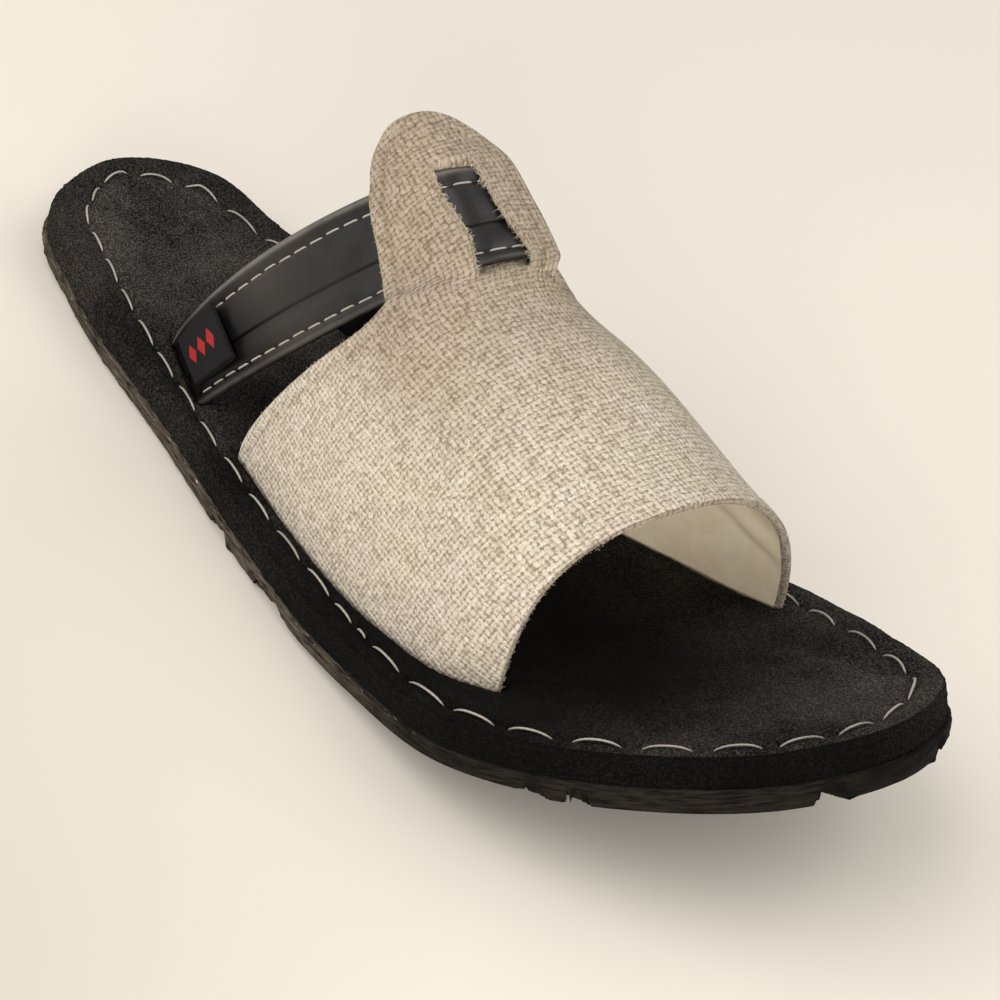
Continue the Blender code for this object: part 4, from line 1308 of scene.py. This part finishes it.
def makeStrap():
    # flat band with round edges swept from foot to foot
    fine = [line + np.linspace(-0.07, 0.07, 15) for line in strapForm["stitchLines"] + (strapForm["seam"],)]
    q = np.unique(np.round(np.concatenate([np.sin(math.pi / 2 * np.linspace(-1, 1, 61))] + fine), 3))
    count = len(q)
    half = upperForm["strapThick"] / 2
    edge = np.sqrt(np.clip(1 - (np.clip(np.abs(q) - 0.91, 0, 1) / 0.09) ** 2, 0, 1))
    qs = np.concatenate([q, q[-2:0:-1]])
    way = np.concatenate([half * edge, -half * edge[-2:0:-1]])
    share, place = np.broadcast_arrays(strapShares[:, None], strapMiddle + strapHalf * qs[None])
    points, out, _ = upperAt(share, place)
    relief = strapRelief(qs[None], strapRun[:, None])
    shown = np.clip(np.abs(way) / half, 0, 1)
    height = way + relief * np.where(way > 0, shown, -0.6 * shown)
    points = points + out * height[..., None]
    rows, cols = points.shape[:2]
    ends = []
    for row in (0, rows - 1):  # closed by rungs from the top line to the bottom line
        a = row * cols + np.arange(0, count - 1)
        b = row * cols + np.r_[0, np.arange(2 * count - 3, count - 2, -1)]
        ends.append(np.stack([a, a + 1, b[1:], b[:-1]], -1))
    quads = np.concatenate([ringGrid(rows, cols)] + ends)
    # painted highlight along the rolled rear edge, fainter along the front edge
    edgeHighlight = np.where(way > -0.0003, bell(qs - 0.88, 0.055), 0.0)
    edgeHighlight = edgeHighlight + np.where(way > 0, 0.35 * bell(qs + 0.93, 0.05), 0.0)
    # painted shade in the seam's gap and in the stitch holes
    seamShade = np.where(way > 0, bell(qs - strapForm["seam"] + 0.012, 0.022), 0.0)
    lines = np.where(way > 0, sum(bell(qs - line, 0.045) for line in strapForm["stitchLines"]), 0.0)
    dark = np.maximum(seamShade[None], bell(holeGap(strapRun), 0.0007)[:, None] * lines[None])
    lateral = 0.3 + 0.7 * softStep(strapShares, 0.60, 0.42)
    values = {"rub": (edgeHighlight[None] * lateral[:, None]).ravel(), "seam": dark.ravel()}
    return makePiece("strap_band", points.reshape(-1, 3), quads, [strapMaterial()], values=values)


def makeStrapStitches(material):
    # short stitches sunk along both edges of the band
    count = int((strapRun[-1] - 0.012) / strapForm["stitchPitch"])
    start = strapForm["firstStitch"] + strapForm["stitchPitch"] * np.arange(count)
    t = np.linspace(0, 1, 12)
    run = start[:, None] + strapForm["stitchLength"] * t[None]
    paths, lifts = [], []
    for line in strapForm["stitchLines"]:
        wobble = 0.008 * rng.normal(0, 1, count)[:, None]
        share = np.interp(run, strapRun, strapShares)
        points, out, _ = upperAt(share, strapMiddle + strapHalf * (line + wobble))
        ends = softStep(np.minimum(t, 1 - t), 0.0, 0.16)
        height = upperForm["strapThick"] / 2 - 0.00010 - 0.00035 * (1 - ends)
        paths.append(points + out * height[None, :, None])
        lifts.append(out)
    points, quads, uv = threadTubes(
        np.concatenate(paths), np.concatenate(lifts), strapForm["threadRadius"], twist=4200.0)
    return makePiece("strap_stitches", points, quads, [material], uv=uv)


strap = makeStrap()
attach(strap, "root")
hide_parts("strap")
strapStitches = makeStrapStitches(paleThread)
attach(strapStitches, "root")
print("strap ready")


# Tag: folded cloth loop on the strap

tagForm = {
    "from": 0.022,
    "to": 0.112,
    "middle": 0.06,
    "half": 0.58,
    "thick": 0.00040,
    "twill": 0.00045,
    "satin": 0.00032,
    "lozenges": (0.0018, 0.0156),  # where their row starts and ends
    "lozengePitch": 0.0046,
    "lozengeRow": 0.0078,
}


def tagMaterial():
    # twill tape with a small row of red lozenges: inside where the shares across and along add to little
    material, tree, shader = startMaterial(
        "black twill tape", Roughness=0.85, Specular_IOR_Level=0.12, Sheen_Weight=0.02)
    cloth = clothPlace(tree)
    u, v, _ = splitPlace(cloth)
    rib = calc("SINE", (u + v) * (2 * math.pi / tagForm["twill"]))
    fleck = noise(cloth, 2600.0, 2.0, 0.6)
    black = blendColour(fade(fleck, 0.4, 0.7), colour(17, 16, 17), colour(34, 33, 34))
    first, last = tagForm["lozenges"]
    cell = calc("ABSOLUTE", calc("FRACT", (u - first) / tagForm["lozengePitch"]) - 0.5)
    row = calc("ABSOLUTE", v) / tagForm["lozengeRow"]
    inRow = calc("GREATER_THAN", u, first) * calc("LESS_THAN", u, last)
    red = calc("LESS_THAN", cell + row, 0.40) * inRow
    satin = calc("SINE", u * (2 * math.pi / tagForm["satin"]))
    redThread = blendColour(fade(satin, -1.0, 1.0), colour(128, 22, 30), colour(206, 52, 56))
    plug(shader.inputs["Base Color"], blendColour(red, black, redThread))
    addBump(shader, rib * 0.25 + red * (satin * 0.4 + 1.2), 0.00012, 0.8)
    return material


def makeTag():
    # tape folded back on itself: path over the strap to the fold and back on top, given its thickness, swept across
    runFrom, runTo = np.interp([tagForm["from"], tagForm["to"]], strapShares, strapRun)
    length = runTo - runFrom
    t = np.linspace(0, 1, 26)
    fold = np.linspace(-math.pi / 2, math.pi / 2, 13)[1:-1]
    radius = 0.00048
    lift = 0.00016 + 0.00075 * t**3
    below = np.stack([t * length, lift], -1)
    turn = np.stack([length + radius * np.cos(fold), lift[-1] + radius + radius * np.sin(fold)], -1)
    back = t[::-1]
    top = lift[::-1] + 2 * radius - 0.00044 * (1 - back) ** 2 + 0.0001 * np.sin(math.pi * t)
    above = np.stack([back * length, top], -1)
    path = np.concatenate([below, turn, above])
    along = unit(np.gradient(path, axis=0))
    side = np.stack([-along[:, 1], along[:, 0]], -1)
    half = tagForm["thick"] / 2
    outline = np.concatenate([path + side * half, (path - side * half)[::-1]])
    q = tagForm["middle"] + np.linspace(-tagForm["half"], tagForm["half"], 36)
    share = np.interp(runFrom + outline[:, 0], strapRun, strapShares)
    points, out, _ = upperAt(share[None, :], strapMiddle + strapHalf * q[:, None])
    height = upperForm["strapThick"] / 2 + 0.0001 + half + outline[:, 1]
    points = points + out * height[None, :, None]
    rows, cols = points.shape[:2]
    halfCols = cols // 2
    ends = []
    for row in (0, rows - 1):
        a = row * cols + np.arange(halfCols - 1)
        b = row * cols + cols - 1 - np.arange(halfCols - 1)
        ends.append(np.stack([a, a + 1, b - 1, b], -1))
    quads = np.concatenate([ringGrid(rows, cols)] + ends)
    width = np.linalg.norm(points[0, 0] - points[-1, 0])
    v = np.linspace(-0.5, 0.5, rows) * width
    uv = np.stack(np.broadcast_arrays(outline[None, :, 0], v[:, None]), -1).reshape(-1, 2)
    return makePiece("strap_tag_loop", points.reshape(-1, 3), quads, [tagMaterial()], uv=uv)


tag = makeTag()
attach(tag, "root")
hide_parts("strap_tag")
print("tag ready")
